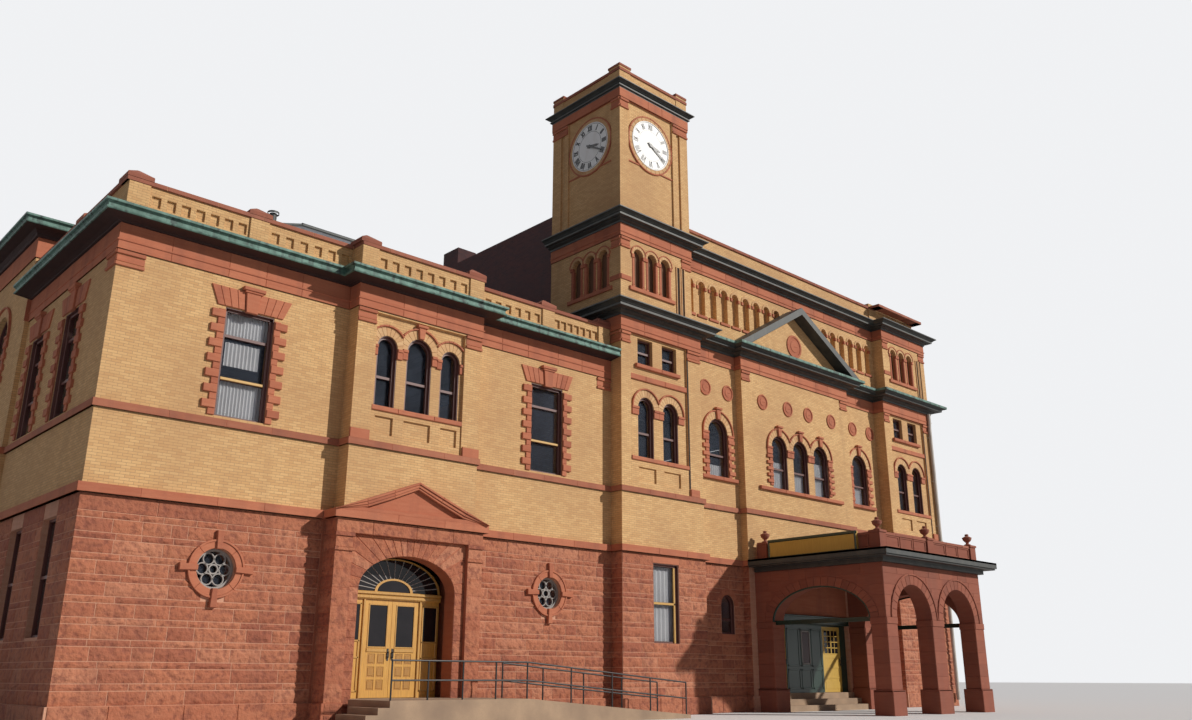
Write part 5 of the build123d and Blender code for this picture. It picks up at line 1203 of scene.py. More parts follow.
# %% Pediment mouldings
PED_TOP = high("bay_pediment").z
PED_HALF = (high("bay_pediment").x - low("bay_pediment").x) / 2
MOULDINGS = ((-0.20, -0.14, 0.02), (-0.14, -0.06, 0.05), (-0.06, 0.0, 0.085))
pediment = Pile(front(low("bay_pediment").y))
slope = math.atan2(PED_TOP - BRICK_FOOT, PED_HALF)
rake_long = math.hypot(PED_TOP - BRICK_FOOT, PED_HALF)
c, s = math.cos(slope), math.sin(slope)
for side in (-1, 1):
    for n in range(3):
        for z0, z1, out in MOULDINGS:
            level = box_outline(rake_long * n / 3 + 0.001, rake_long * (n + 1) / 3 - 0.001, z0, z1)
            outline = [(-PED_HALF + u * c - z * s, BRICK_FOOT + u * s + z * c) for u, z in level]
            outline = [(max(-PED_HALF, min(0.0, u)), max(BRICK_FOOT, z)) for u, z in outline]
            if side > 0:
                outline = [(-u, z) for u, z in reversed(outline)]
            block(pediment, [(BAY_MID + u, z) for u, z in outline], -out, 0.05, 0.008, rng.random())
pediment.piece("pediment_mouldings", dressed_stone)

# %% [markdown]
# ## Cornices
# A cornice is one profile carried along the top of the wall, mitred at each corner. So the profile is
# drawn once, as steps out from the wall and heights, and swept along the plan of the walls. At a corner
# both walls push it out, which gives the mitre for inner and outer corners alike.

# %% Sweep a profile along walls
def outward(a, b):
    """The way out of a wall that runs from a to b with the building on its left."""
    run = (b - a).normalized()
    return Vector((run.y, -run.x))


def corner_pushes(path, closed):
    """For each corner of the plan, the direction in which one metre of projection moves it."""
    walls = [outward(a, b) for a, b in pairs(path + path[:1])]
    pushes = []
    for n, after in enumerate(walls):
        before = walls[n - 1]
        if not closed and n == 0:
            pushes.append(after)
        elif (not closed and n == len(path) - 1) or (before - after).length < 1e-6:
            pushes.append(before)
        else:
            pushes.append(before + after)
    return pushes


def wall_runs(plan, closed):
    """Each wall of a plan as its two ends, and the push at each end."""
    path = [Vector(spot) for spot in plan]
    ends = list(zip(path, corner_pushes(path, closed)))
    return pairs(ends + ends[:1]) if closed else pairs(ends)


def sweep(pile, plan, profile, closed=False, tone=0.5):
    """Carry a profile of (out, height) points along the walls; each flat strip gets its own faces."""
    def section(end):
        return [(*(end[0] + end[1] * out), z) for out, z in profile]

    size = len(profile)
    runs = wall_runs(plan, closed)
    for start, stop in runs:
        strips = [[k, k + size, k + size + 1, k + 1] for k in range(size - 1)]
        pile.add(section(start) + section(stop), strips, tone)
    if not closed:
        pile.add(section(runs[0][0]), [list(range(size))], tone)
        pile.add(section(runs[-1][1]), [list(range(size))[::-1]], tone)


def course_of(pile, plan, z0, z1, out, deep, longest, closed=False, edge=0.008, joint=0.003):
    """Slabs end to end along the walls: the blocks of a frieze, a ledge or a coping."""
    for (a, push_a), (b, push_b) in wall_runs(plan, closed):
        run, way = (b - a).normalized(), outward(a, b)
        start, stop = (push_a * out).dot(run), (b - a).length + (push_b * out).dot(run)
        stops = along(start, stop, longest * 0.85, longest * 1.1)
        turn = Matrix(((run.x, -way.x, 0, a.x), (run.y, -way.y, 0, a.y), (0, 0, 1, 0), (0, 0, 0, 1)))
        for u0, u1 in pairs(stops):
            block(pile, box_outline(u0 + joint, u1 - joint, z0, z1), -out, deep, edge, rng.random(), turn)


print("profiles can be swept round corners")

# %% Plans of the walls
TOWER_WIDE = 3.55
SIDE_END = 3.1
WING_END = WING_LEFT + WING_WIDE
TOWER_RIGHT = WING_LEFT + TOWER_WIDE
UPPER_RIGHT = WING_RIGHT - TOWER_WIDE
CORNER_Y = HALL_DEEP + PAVILION_OUT


def bay_plan(half, out):
    return [(0, PAVILION_FROM), (0, 0), (BAY_MID - half, 0), (BAY_MID - half, out), (BAY_MID + half, out),
            (BAY_MID + half, 0)]


HALL_PLAN = bay_plan(2, -0.5)
HALL_TO_THEATRE = HALL_PLAN + [(WING_LEFT - 0.03, 0)]
PAVILION_PLAN = [(4.2, CORNER_Y), (-PAVILION_OUT, CORNER_Y), (-PAVILION_OUT, PAVILION_FROM), (4.2, PAVILION_FROM)]
STAGE_PLAN = [(WING_LEFT, STAGE_DEEP), (WING_LEFT, -WINGS_OUT), (WING_END, -WINGS_OUT), (WING_END, 0),
              (CENTRE_LEFT, 0), (CENTRE_LEFT, -CENTRE_OUT), (CENTRE_RIGHT, -CENTRE_OUT), (CENTRE_RIGHT, 0),
              (RIGHT_WING, 0), (RIGHT_WING, -WINGS_OUT), (WING_RIGHT, -WINGS_OUT), (WING_RIGHT, STAGE_DEEP)]
STAGE_FRONT_PLAN = [(WING_LEFT, 0)] + STAGE_PLAN[1:]
UPPER_CORNER = [(UPPER_RIGHT, 0), (UPPER_RIGHT, -WINGS_OUT), (WING_RIGHT, -WINGS_OUT), (WING_RIGHT, SIDE_END)]
TOWER_PLAN = [(WING_LEFT, SIDE_END), (WING_LEFT, -WINGS_OUT), (TOWER_RIGHT, -WINGS_OUT), (TOWER_RIGHT, SIDE_END)]
UPPER_PLAN = TOWER_PLAN[:3] + [(TOWER_RIGHT, 0)] + UPPER_CORNER
print("walls planned:", len(HALL_PLAN), "corners on the hall,", len(STAGE_PLAN), "on the theatre")

# %% [markdown]
# ## String courses and friezes
# Bands of smooth red stone run round the walls: a ledge over the stone storey, a belt at the sills, and a
# frieze under each cornice with a thin string along its middle. A band could be one long bar, but stone
# comes in lengths of a metre or so, so each band is broken into blocks with fine joints.

# %% String courses and friezes
LEDGE_OUT, FRIEZE_OUT = 0.118, 0.042
LEDGE_TOP = BRICK_FOOT + 0.004
ledge_plan = bay_plan(BAY_HALF, BAY_FRONT) + [(WING_LEFT - 0.1, 0)]
courses = Pile()
for plan, z0, z1, out, deep, longest, closed in (
        (ledge_plan, STONE_TOP, LEDGE_TOP, LEDGE_OUT, 0.05, 1.5, False),
        (STAGE_FRONT_PLAN, STONE_TOP, LEDGE_TOP, LEDGE_OUT, 0.05, 1.5, False),
        (HALL_TO_THEATRE, 10.45, 11.08, FRIEZE_OUT, 0.0, 1.25, False),
        (PAVILION_PLAN, 12.35, 12.95, FRIEZE_OUT, 0.0, 1.25, False),
        (STAGE_FRONT_PLAN, 12.1, 12.6, FRIEZE_OUT, 0.0, 1.25, False),
        (UPPER_PLAN, 15.5, 15.95, FRIEZE_OUT, 0.0, 1.25, False),
        (TOWER_PLAN, 20.9, 21.25, FRIEZE_OUT, 0.0, 1.2, True)):
    course_of(courses, plan, z0, z1, out, deep, longest, closed)
for plan, z in ((HALL_TO_THEATRE, 10.67), (STAGE_FRONT_PLAN, 12.26), (UPPER_PLAN, 15.64)):
    sweep(courses, plan, [(0.03, z - 0.025), (0.062, z - 0.02), (0.068, z + 0.012), (0.03, z + 0.03)], tone=0.1)
courses.piece("stone_courses", dressed_stone)
belts = Pile()
for plan in (HALL_PLAN + [(WING_LEFT - 0.06, 0)], STAGE_FRONT_PLAN):
    course_of(belts, plan, 6.73, 6.904, 0.066, 0.03, 1.4)
belts.piece("belt_stones", belt_stone)

# %% [markdown]
# ## Sheet metal
# Each eaves is folded from sheet: a small mould under a flat soffit, an upright fascia, a hollow, and the
# lip of the gutter. The hall's is copper, and its bed mould and soffit are near black, painted shade for
# the gutter's shadow, so those two are swept apart. The others are one dark metal. Where the CAD model has
# the same cornice in plain steps, the folded one replaces it.

# %% Sheet metal cornices
def eaves(z0, z1, z2, out, bed):
    """Bed mould, soffit, upright fascia, a hollow and the lip of the gutter."""
    tall = z2 - z1
    rising = ((0.16, 0.36), (0.13, 0.42), (0.11, 0.55), (0.05, 0.74), (0.01, 0.80), (0, 0.84))
    return ([(0, z0), (bed * 0.35, z0), (bed * 0.4, z0 + (z1 - z0) * 0.45), (bed, z1 - 0.03), (bed, z1),
             (out - 0.16, z1 + 0.01)] + [(out - back_by, z1 + tall * share) for back_by, share in rising]
            + [(out, z2), (out - 0.03, z2), (out - 0.05, z2 - 0.02), (0, z2 - 0.02)])


def copper_eaves(z0, z1, z2, out, bed):
    """The bed mould and soffit in near-black painted shade, and the green fascia: a lower lip, a hollow and the
    gutter's upper lip.
    """
    tall = z2 - z1
    rising = ((0.03, 0.10), (0.04, 0.22), (0.075, 0.26), (0.075, 0.55), (0.05, 0.68), (0.01, 0.74), (0, 0.78))
    soffit = [(0, z0), (bed * 0.5, z0), (bed * 0.55, z0 + (z1 - z0) * 0.5), (bed, z1 - 0.01), (out - 0.07, z1)]
    fascia = ([(out - 0.10, z1 + 0.002), (out - 0.04, z1)]
              + [(out - back_by, z1 + tall * share) for back_by, share in rising]
              + [(out, z2), (out - 0.03, z2), (out - 0.05, z2 - 0.02), (0, z2 - 0.02)])
    return soffit, fascia


copper, soffits = Pile(), Pile()
for plan, z0, z1, z2 in ((HALL_TO_THEATRE, 11.08, 11.14, 11.39), (PAVILION_PLAN, 12.95, 13.15, 13.4)):
    soffit, fascia = copper_eaves(z0, z1, z2, 0.55, 0.2)
    sweep(soffits, plan, soffit)
    sweep(copper, plan, fascia)
copper.piece("copper_gutters", green_copper, slot="copper_green", stands_for=("hall_gutter",))
soffits.piece("gutter_soffits", soffit_painted_shade, slot="dark_metal")
metal = Pile()
sweep(metal, STAGE_PLAN, eaves(12.6, 12.76, 13.0, 0.6, 0.2), closed=True)
metal.piece("theatre_cornices", dark_metal, slot="dark_metal", stands_for=("theatre_cornice",))
lip = Pile()
sweep(lip, STAGE_FRONT_PLAN[2:], [(0.604, 12.90), (0.608, 12.91), (0.612, 12.93), (0.612, 13.002), (0.50, 13.004)])
lip.piece("copper_lip", green_copper, slot="copper_green")
metal = Pile()
sweep(metal, UPPER_PLAN, eaves(15.95, 16.08, 16.3, 0.5, 0.2))
sweep(metal, TOWER_PLAN, eaves(21.25, 21.34, 21.52, 0.23, 0.1), closed=True)
metal.piece("upper_metal_cornices", dark_metal, slot="dark_metal", stands_for=("upper_cornices",))

# %% [markdown]
# ## Copings
# Every parapet is closed by a coping of flat stones, so that rain can't get into the brickwork, and each
# of its piers by a stone cut to a low pyramid.

# %% Copings and pier caps
PIER_HALF = 0.25
HALL_PIERS = ((0.25, 0.25), (3.235, 0.25), (6.15, -0.25), (9.7, -0.25), (12.86, 0.25), (15.27, 0.25), (0.25, 3.4))
caps = Pile()
course_of(caps, HALL_TO_THEATRE, 12.178, 12.29, 0.058, 0.40, 1.1)
course_of(caps, [(TOWER_RIGHT, 0)] + UPPER_CORNER, 17.045, 17.16, 0.06, 0.36, 1.1)
course_of(caps, TOWER_PLAN, 21.998, 22.108, 0.028, 0.33, 0.9, closed=True)


def ring_faces(rings, sides):
    """The faces of a shape that is turned or stacked from rings of points, from its foot up."""
    return [[a + k, a + (k + 1) % sides, a + sides + (k + 1) % sides, a + sides + k]
            for a in range(0, (rings - 1) * sides, sides) for k in range(sides)]


def pyramid_cap(pile, x, y, half, z0, z1, tip, tone):
    """A square slab with a pyramid on it."""
    rings = ((half, z0), (half, z1 - 0.010), (half - 0.003, z1 - 0.003), (half - 0.006, z1 + 0.006), (0.03, tip))
    points = [(x + a * reach, y + b * reach, z)
              for reach, z in rings for a, b in ((-1, -1), (1, -1), (1, 1), (-1, 1))]
    pile.add(points, [[0, 3, 2, 1]] + ring_faces(5, 4) + [[16, 17, 18, 19]], tone)


pier_brick = Pile()
for x, y in HALL_PIERS[:-1]:
    pier_brick.place = front(y - PIER_HALF)
    slab(pier_brick, x - PIER_HALF, x + PIER_HALF, -0.05, 0, 11.40, 12.17, 0.006)
pier_brick.piece("parapet_pier_brick", buff_brick, slot="brick")
for x, y in HALL_PIERS:
    pyramid_cap(caps, x, y, 0.308, 12.272, 12.388, 12.59, rng.random())
for x in (WING_LEFT + 0.28, TOWER_RIGHT - 0.28):
    for y in (-0.22, 2.82):
        pyramid_cap(caps, x, y, 0.30, 22.19, 22.275, 22.34, rng.random())
caps.piece("copings", brown_stone)

# %% [markdown]
# ## Blind arches of the upper storey
# Under the highest cornice runs a row of narrow blind arches, and three wider ones stand on each tower
# face. Their jambs and the small blocks they spring from are red stone, their heads are buff brick on end.
# One helper dresses any arch of that kind, so nineteen small and nine wide ones cost a few lines.

# %% Dress one blind arch
NICHE_BACK = 0.171
upper, upper_bricks, niches = Pile(), Pile(), Pile()


def blind_arch(x, half, foot, spring, rim, label=0.0, shafts=False):
    """Brick head, thin red label, springers and, for the wide ones, red jamb shafts."""
    stone_ring(upper_bricks, x, spring, half, half + rim, turns(9, stop=math.pi, gap=0.01), -0.025, 0.004, 2)
    if label:
        stone_ring(upper, x, spring, half + rim, half + rim + label, turns(3, stop=math.pi), -0.045, 0.005, 4)
    block_foot = spring - 0.13
    for side in (-1, 1):
        a, b = beside(x, side, half - 0.02, half + rim)
        stone(upper, a, b, -0.045, 0.08, block_foot, spring, 0.008)
        if shafts:
            for z0, z1, more in ((foot, foot + 0.09, 0.012), (foot + 0.09, block_foot, 0.0)):
                a, b = beside(x, side, half - 0.05 - more, half + rim - 0.03 + more)
                stone(upper, a, b, -0.02 - more, 0.1, z0, z1, 0.02)


# %% Blind arches in threes, and the row of nineteen
TRIPLE = (0.85, 1.52, 2.19)
FOOT, SPRING = 13.75, 14.96
ROW_FOOT, ROW_SPRING = 13.87, 15.01
for place, first, side in ((front(-WINGS_OUT), WING_LEFT, 1), (left(WING_LEFT), WINGS_OUT, -1),
                           (front(-WINGS_OUT), UPPER_RIGHT, 1)):
    upper.place = upper_bricks.place = niches.place = place
    for offset in TRIPLE:
        x = first + side * offset
        blind_arch(x, 0.23, FOOT, SPRING, 0.105, 0.04, True)
        # A dark sheet at the back of each wide niche is painted shade for the shadow inside it.
        slab(niches, x - 0.225, x + 0.225, NICHE_BACK, NICHE_BACK + 0.008, FOOT, SPRING, 0.001)
        ring_part(niches, x, SPRING, 0.001, 0.225, 0, math.pi, NICHE_BACK, NICHE_BACK + 0.008, 0.5, 0.0004, 10)
    a, b = beside(first, side, 0.40, 2.65)
    slab(upper, a, b, -0.07, 0, FOOT - 0.14, FOOT, 0.012, 0.4)
    a, b = beside(first, side, 0, 0.5)
    slab(upper, a, b, -0.035, 0, FOOT + 0.16, FOOT + 0.34, 0.012, 0.8)
upper.place = upper_bricks.place = front(0)
for n in range(19):
    x = 19.65 + n * 0.65
    blind_arch(x, 0.19, ROW_FOOT, ROW_SPRING, 0.085)
    stone(upper, x - 0.27, x + 0.27, -0.05, 0, ROW_FOOT - 0.10, ROW_FOOT, 0.010)
upper.piece("blind_arch_stones", dressed_stone)
upper_bricks.piece("blind_arch_heads", arch_brick, slot="brick")
niches.piece("shaded_niches", niche_painted_shade, slot="brick")

# %% [markdown]
# ## Corner strips
# Every corner of the building ends in a flat strip: thin bands of red stone just under the frieze act as
# its capital, and beside it a dark upright groove sets it off from the wall. The grooves are in shadow on
# the building, so each is a thin strip of painted shade between two raised ones.

# %% Capitals and grooves
HALL_FRIEZE, STAGE_FRIEZE, UPPER_FRIEZE, TOWER_FRIEZE = 10.45, 12.1, 15.5, 20.9
bands, grooves, groove_edges = Pile(), Pile(), Pile()


def capitals(z, place, *spans):
    """Three bands across each corner strip of a wall, under the frieze at height z."""
    bands.place = place
    for u0, u1 in spans:
        for foot, tall, out in ((z - 0.40, 0.075, 0.05), (z - 0.12, 0.09, 0.055), (z - 0.30, 0.16, 0.015)):
            stone(bands, u0, u1, -out, 0, foot, foot + tall, 0.008)


def groove(u0, u1, z0=13.3, z1=15.1):
    """A slot between two strips: a thin strip of painted shade from top to bottom."""
    slab(grooves, u0, u1, -0.004, 0, z0, z1, 0.002, 0.3)
    for u in (u0 - 0.05, u1):
        stone(groove_edges, u, u + 0.05, -0.04, 0, z0, z1, 0.006)


capitals(HALL_FRIEZE, front(0), (-0.03, 0.62), (WING_LEFT - 0.62, WING_LEFT - 0.01))
capitals(HALL_FRIEZE, left(0), (-0.62, 0.03))
for side in (-1, 1):
    a, b = beside(BAY_MID, side, 1.46, 2.02)
    capitals(HALL_FRIEZE, front(-0.5), (a, b))
    stone(bands, a, b, -0.05, 0, 6.9, 7.16, 0.010)
for x in (WING_LEFT, RIGHT_WING):
    capitals(STAGE_FRIEZE, front(-WINGS_OUT), (x, x + 0.43), (x + 3.22, x + WING_WIDE))
capitals(STAGE_FRIEZE, left(WING_LEFT), (0.0, 0.5))
capitals(STAGE_FRIEZE, front(-CENTRE_OUT), (CENTRE_LEFT, CENTRE_LEFT + 0.5), (CENTRE_RIGHT - 0.5, CENTRE_RIGHT))
grooves.place = groove_edges.place = front(-WINGS_OUT)
for x in (WING_LEFT, UPPER_RIGHT):
    capitals(UPPER_FRIEZE, front(-WINGS_OUT), (x, x + 0.45), (x + 3.05, x + TOWER_WIDE))
    groove(x + 2.80, x + 2.92)
    groove(x + 3.06, x + 3.16)
capitals(TOWER_FRIEZE, front(-WINGS_OUT), (WING_LEFT, WING_LEFT + 0.43), (WING_LEFT + 2.75, TOWER_RIGHT))
capitals(UPPER_FRIEZE, left(WING_LEFT), (0.05, 0.5))
capitals(TOWER_FRIEZE, left(WING_LEFT), (0.07, 0.5), (-3.10, -2.25))
bands.piece("corner_capitals", dressed_stone)
grooves.piece("shaded_grooves", deep_shade, slot="dark_metal")
groove_edges.piece("groove_edges", arch_brick, slot="brick")

# %% [markdown]
# ## Clock faces
# White dials with black Roman numerals, read from the middle, and a fine ring inside them. The numerals
# are strokes of three kinds, an I, a V and an X, set side by side and turned to their hour. Text would
# need a font, and strokes are what the painter made anyway.

# %% Numerals from strokes
HOURS = ("XII", "I", "II", "III", "IIII", "V", "VI", "VII", "VIII", "IX", "X", "XI")
STROKES = {"I": [((0, 0), (0, 1))], "V": [((-0.5, 1), (0, 0)), ((0.5, 1), (0, 0))],
           "X": [((-0.5, 0), (0.5, 1)), ((0.5, 0), (-0.5, 1))]}
LETTER_WIDE = {"I": 0.055, "V": 0.125, "X": 0.125}
LETTER_GAP = 0.035
STROKE_WIDE = 0.050
NUMERAL_FOOT = 0.635
NUMERAL_TALL = 0.22
NUMERAL_OUT = 0.046
DIAL_OUT = 0.036


def bar_outline(a, b, wide):
    """The outline of a flat bar from a to b."""
    side = (b - a).normalized().orthogonal() * wide / 2
    return [a - side, b - side, b + side, a + side]


def numeral(pile, word, turn):
    spot = -sum(LETTER_WIDE[letter] for letter in word) / 2
    for letter in word:
        middle = spot + LETTER_WIDE[letter] / 2
        wide = LETTER_WIDE[letter] - LETTER_GAP
        for ends in STROKES[letter]:
            a, b = (Vector((middle + u * wide, NUMERAL_FOOT + v * NUMERAL_TALL)) for u, v in ends)
            block(pile, bar_outline(a, b, STROKE_WIDE), -NUMERAL_OUT, -DIAL_OUT, 0.001, 0.5, turn)
        spot += LETTER_WIDE[letter]


numerals, rims, strings = Pile(), Pile(), Pile()
for place in dial_places:
    numerals.place = rims.place = strings.place = place
    for hour, word in enumerate(HOURS):
        numeral(numerals, word, Matrix.Rotation(2 * math.pi * hour / 12, 4, "Y"))
    for r0, r1 in ((0.585, 0.598), (0.888, 0.902)):
        plain_ring(numerals, 0, 0, r0, r1, 4, -0.043, -DIAL_OUT, 0.5, 0.001, 12)
    plain_ring(rims, 0, 0, 0.915, 0.945, 4, -0.058, 0, 0.5, 0.006, 12)
    for side in (-1, 1):
        a, b = beside(0, side, 0.56, 1.15)
        slab(strings, a, b, -0.035, 0, -1.0, -0.945, 0.008, 0.3)
numerals.piece("clock_numerals", black_paint, slot="hand_black")
rims.piece("dial_rims", white_dial, slot="dial_white")
strings.piece("dial_strings", dressed_stone)

# %% [markdown]
# ## Entrance doors
# Two oak leaves stand back in the shade of the arch. Each has a tall dark pane over rows of small square
# panels, and the wood round them is lighter. The panes and panels ride on the leaf they belong to, so
# they swing with it. Over the doors a fan of thin bars fills the round of the arch.

# %% Beads and handles
def beading(pile, a, b, z0, z1, outer, inner, near, deep, edge):
    """Thin strips of wood round a pane, lapping over its rim and over the wood outside."""
    for u0, u1, c, d in ((a - outer, a + inner, z0 - outer, z1 + outer),
                         (b - inner, b + outer, z0 - outer, z1 + outer),
                         (a, b, z0 - outer, z0 + inner), (a, b, z1 - inner, z1 + outer)):
        slab(pile, u0, u1, near, deep, c, d, edge)


def handle(body, place, u, plate_half, plate_foot, plate_edge, grip_half, posts, reach):
    """A flat plate, and an upright grip held off it by two posts."""
    pile = Pile(place)
    slab(pile, u - plate_half, u + plate_half, -0.008, 0.002, plate_foot, 1.80, plate_edge)
    for z in posts:
        slab(pile, u - grip_half, u + grip_half, -reach, -0.008, z, z + 0.02, 0.004)
    slab(pile, u - grip_half, u + grip_half, -reach - 0.012, -reach + 0.005, posts[0] - 0.01, posts[1] + 0.03, 0.004)
    pile.piece(body + "_handle", black_pipe, slot="dark_metal", body=body)


# %% Panes and small panels of the leaves
DOOR_FACE = 0.2
LEAF_STILE = 0.13
GLASS_FROM, GLASS_TOP = 1.83, 2.87
PANELS_FROM = 0.76
LEAVES = (("entrance_leaf_left", 7.15, 7.945, 7.883), ("entrance_leaf_right", 7.955, 8.75, 8.017))
doorway = front(DOOR_FACE)
for body, x0, x1, handle_x in LEAVES:
    a, b = x0 + LEAF_STILE, x1 - LEAF_STILE
    pane, beads, squares = Pile(doorway), Pile(doorway), Pile(doorway)
    slab(pane, a + 0.012, b - 0.012, 0.009, 0.016, GLASS_FROM + 0.012, GLASS_TOP - 0.012, 0.002)
    pane.piece(body + "_pane", door_glass, slot="glass", body=body)
    beading(beads, a, b, GLASS_FROM, GLASS_TOP, 0.022, 0.012, -0.012, 0.012, 0.005)
    slab(beads, a - 0.03, b + 0.03, -0.022, 0.0, GLASS_FROM - 0.125, GLASS_FROM - 0.03, 0.012)
    beads.piece(body + "_beads", pale_oak, slot="oak", body=body)
    tall = (GLASS_FROM - LEAF_STILE - PANELS_FROM) / 3
    wide = (b - a) / 2
    for n in range(6):
        u, z = a + n % 2 * wide, PANELS_FROM + n // 2 * tall
        slab(squares, u + 0.055, u + wide - 0.055, 0.001, 0.0125, z + 0.06, z + tall - 0.06, 0.010)
        slab(squares, u + 0.026, u + wide - 0.026, 0.0108, 0.013, z + 0.031, z + tall - 0.031, 0.001)
    squares.piece(body + "_panels", brown_oak, slot="oak", body=body)
    handle(body, doorway, handle_x, 0.028, 1.50, 0.004, 0.010, (1.58, 1.70), 0.05)
print("door leaves dressed:", len(LEAVES))

# %% Frame mouldings and the fan of bars
FAN_STEPS = 28
woodwork, bars, fan_glass = Pile(doorway), Pile(doorway), Pile(doorway)
for x in (BAY_MID - 0.868, BAY_MID + 0.808):
    slab(woodwork, x, x + 0.06, -0.04, 0.0, 0.6, 3.0, 0.010)
for side in (-1, 1):
    x0, x1 = beside(BAY_MID, side, 0.91, 1.40)
    for x in (x0, x1 - 0.045):
        slab(woodwork, x, x + 0.045, -0.02, 0, 0.75, 2.9, 0.008)
    for z in (0.75, 1.55, 1.95, 2.86):
        slab(woodwork, x0, x1, -0.02, 0, z, z + 0.045, 0.008)
for z0, z1, out in ((3.02, 3.10, 0.085), (3.12, 3.19, 0.115)):
    slab(woodwork, BAY_MID - 1.43, BAY_MID + 1.43, -out, -0.055, z0, z1, 0.012)


def oval_point(x, spring, half, rise, angle):
    return x + half * math.cos(angle), spring + rise * math.sin(angle)


def fan_point(angle, share):
    """A spot in the fanlight, its share of the way from the middle to the arch."""
    return oval_point(BAY_MID, ARCH_SPRING, share * ARCH_HALF, share * ARCH_RISE, angle)


for inner, outer, out in ((0.345, 0.40, 0.03), (0.955, 1.0, 0.02)):
    for a0, a1 in turns(FAN_STEPS, stop=math.pi):
        ends = ((a0, outer), (a1, outer), (a1, inner), (a0, inner))
        block(woodwork, [fan_point(*end) for end in ends], -out, 0.0, 0.001)
woodwork.piece("entrance_woodwork", pale_oak, slot="oak")
for n in range(1, 16):
    a, b = (Vector(fan_point(math.pi * n / 16, share)) for share in (0.38, 0.97))
    block(bars, bar_outline(a, b, 0.022), -0.018, 0.0, 0.003)
bars.piece("fanlight_bars", grey_bars, slot="painted_wood")
rim = [fan_point(math.pi * n / FAN_STEPS, 0.955) for n in range(FAN_STEPS + 1)]
block(fan_glass, rim, -0.006, 0.0, 0.002)
for side in (-1, 1):
    x0, x1 = beside(BAY_MID, side, 0.955, 1.355)
    slab(fan_glass, x0, x1, -0.006, 0, 1.995, 2.86, 0.002)
fan_glass.piece("fanlight_glass", door_glass, slot="glass")

# %% [markdown]
# ## Curtains and grilles
# The sashes are in the CAD model with their meeting rail. What makes them look lived in is behind the
# glass: a white curtain in the first window and blinds in others. Flat panels would look like card, so
# the cloth hangs in folds. The scrollwork of the round windows is cut down to rings round a middle one.

# %% Curtains, blinds and grilles
CURTAIN_PLANE, FOLD_DEEP = 0.25, 0.018
curtains = Pile()


def curtain(place, x, half, z0, z1, folds):
    """Cloth in soft upright folds just behind the glass."""
    curtains.place = place
    count = folds * 4
    points = [(x - half + 2 * half * k / count, CURTAIN_PLANE + FOLD_DEEP * math.sin(math.pi * k / 2), z)
              for z in (z0, z1) for k in range(count + 1)]
    curtains.add(points, [[k, k + 1, k + count + 2, k + count + 1] for k in range(count)], rng.random())


curtain(front(0), 3.26, 0.60, 7.0, 7.94, 14)
curtain(front(0), 3.26, 0.60, 9.07, 9.66, 14)
curtain(front(0), 3.26, 0.44, 8.30, 8.90, 9)
curtain(front(-WINGS_OUT), 17.56, 0.57, 2.2, 4.5, 6)
for x, top in zip(CENTRE_ARCHES + RECESS_ARCHES, (8.9, 8.6, 9.2, 8.4, 8.8)):
    curtain(front(0 if x in RECESS_ARCHES else -CENTRE_OUT), x, 0.42, 7.9, top, 7)
curtains.piece("curtains", white_cloth, slot="painted_wood")
grille = Pile(front(0))
for x in OCULI:
    for n in range(6):
        spot = oval_point(x, OCULUS_Z, 0.26, 0.26, math.pi * n / 3)
        plain_ring(grille, *spot, 0.115, 0.145, 3, 0.12, 0.17, 0.5, 0.003, 4)
    plain_ring(grille, x, OCULUS_Z, 0.085, 0.12, 2, 0.12, 0.17, 0.5, 0.003, 8)
    plain_ring(grille, x, OCULUS_Z, 0.40, 0.458, 4, 0.10, 0.19, 0.5, 0.004, 6)
grille.piece("oculus_grilles", grey_bars, slot="painted_wood")

# %% [markdown]
# ## Portico
# A carriage porch of the same red stone: piers of long blocks on plinths, round arches at the front, a
# wide flat arch at each side, a dark cornice and a low parapet with covered urns. Its stones are smooth,
# so the joints alone tell them apart.

# %% Piers, spandrels and arch stones
PORT_L, PORT_R = STAGE_MID - 3.15, STAGE_MID + 3.15
PORT_FRONT = -5.4
PORT_SPRING, PORT_TOP = 2.94, 4.65
PLINTH_TOP = 0.69
CAPITAL_FOOT = PORT_SPRING - 0.2
PIER_WIDE = 0.62
RING_WIDE = 0.30
ARCH_R = 1.08
SIDE_MID, SIDE_HALF, SIDE_RISE = 2.915, 1.925, 1.1
porch = Pile()


def pier(x0, x1, y0, y1, sides):
    """Blocks on the front, left, right and back of a pier, or on the first few of these."""
    faces = ((front(y0), x0, x1), (left(x0), -y1, -y0), (right(x1), y0, y1), (back(y1), -x1, -x0))
    for place, a, b in faces[:sides]:
        porch.place = place
        stone(porch, a - 0.06, b + 0.06, -0.068, 0, 0.0, PLINTH_TOP, 0.012)
        stone(porch, a - 0.055, b + 0.055, -0.06, 0, PLINTH_TOP, 0.755, 0.02)
        coursed(porch, a, b, 0.76, CAPITAL_FOOT, -0.008, 0, 0.40)
        stone(porch, a - 0.008, b + 0.008, -0.03, 0, CAPITAL_FOOT, PORT_SPRING, 0.012)


def chord(x, half, rise):
    """What an oval arch takes out of a course."""
    def taken(z0, z1):
        share = (z0 - PORT_SPRING) / rise
        if share >= 1:
            return None
        reach = half * math.sqrt(1 - share * share)
        return x - reach, x + reach
    return taken


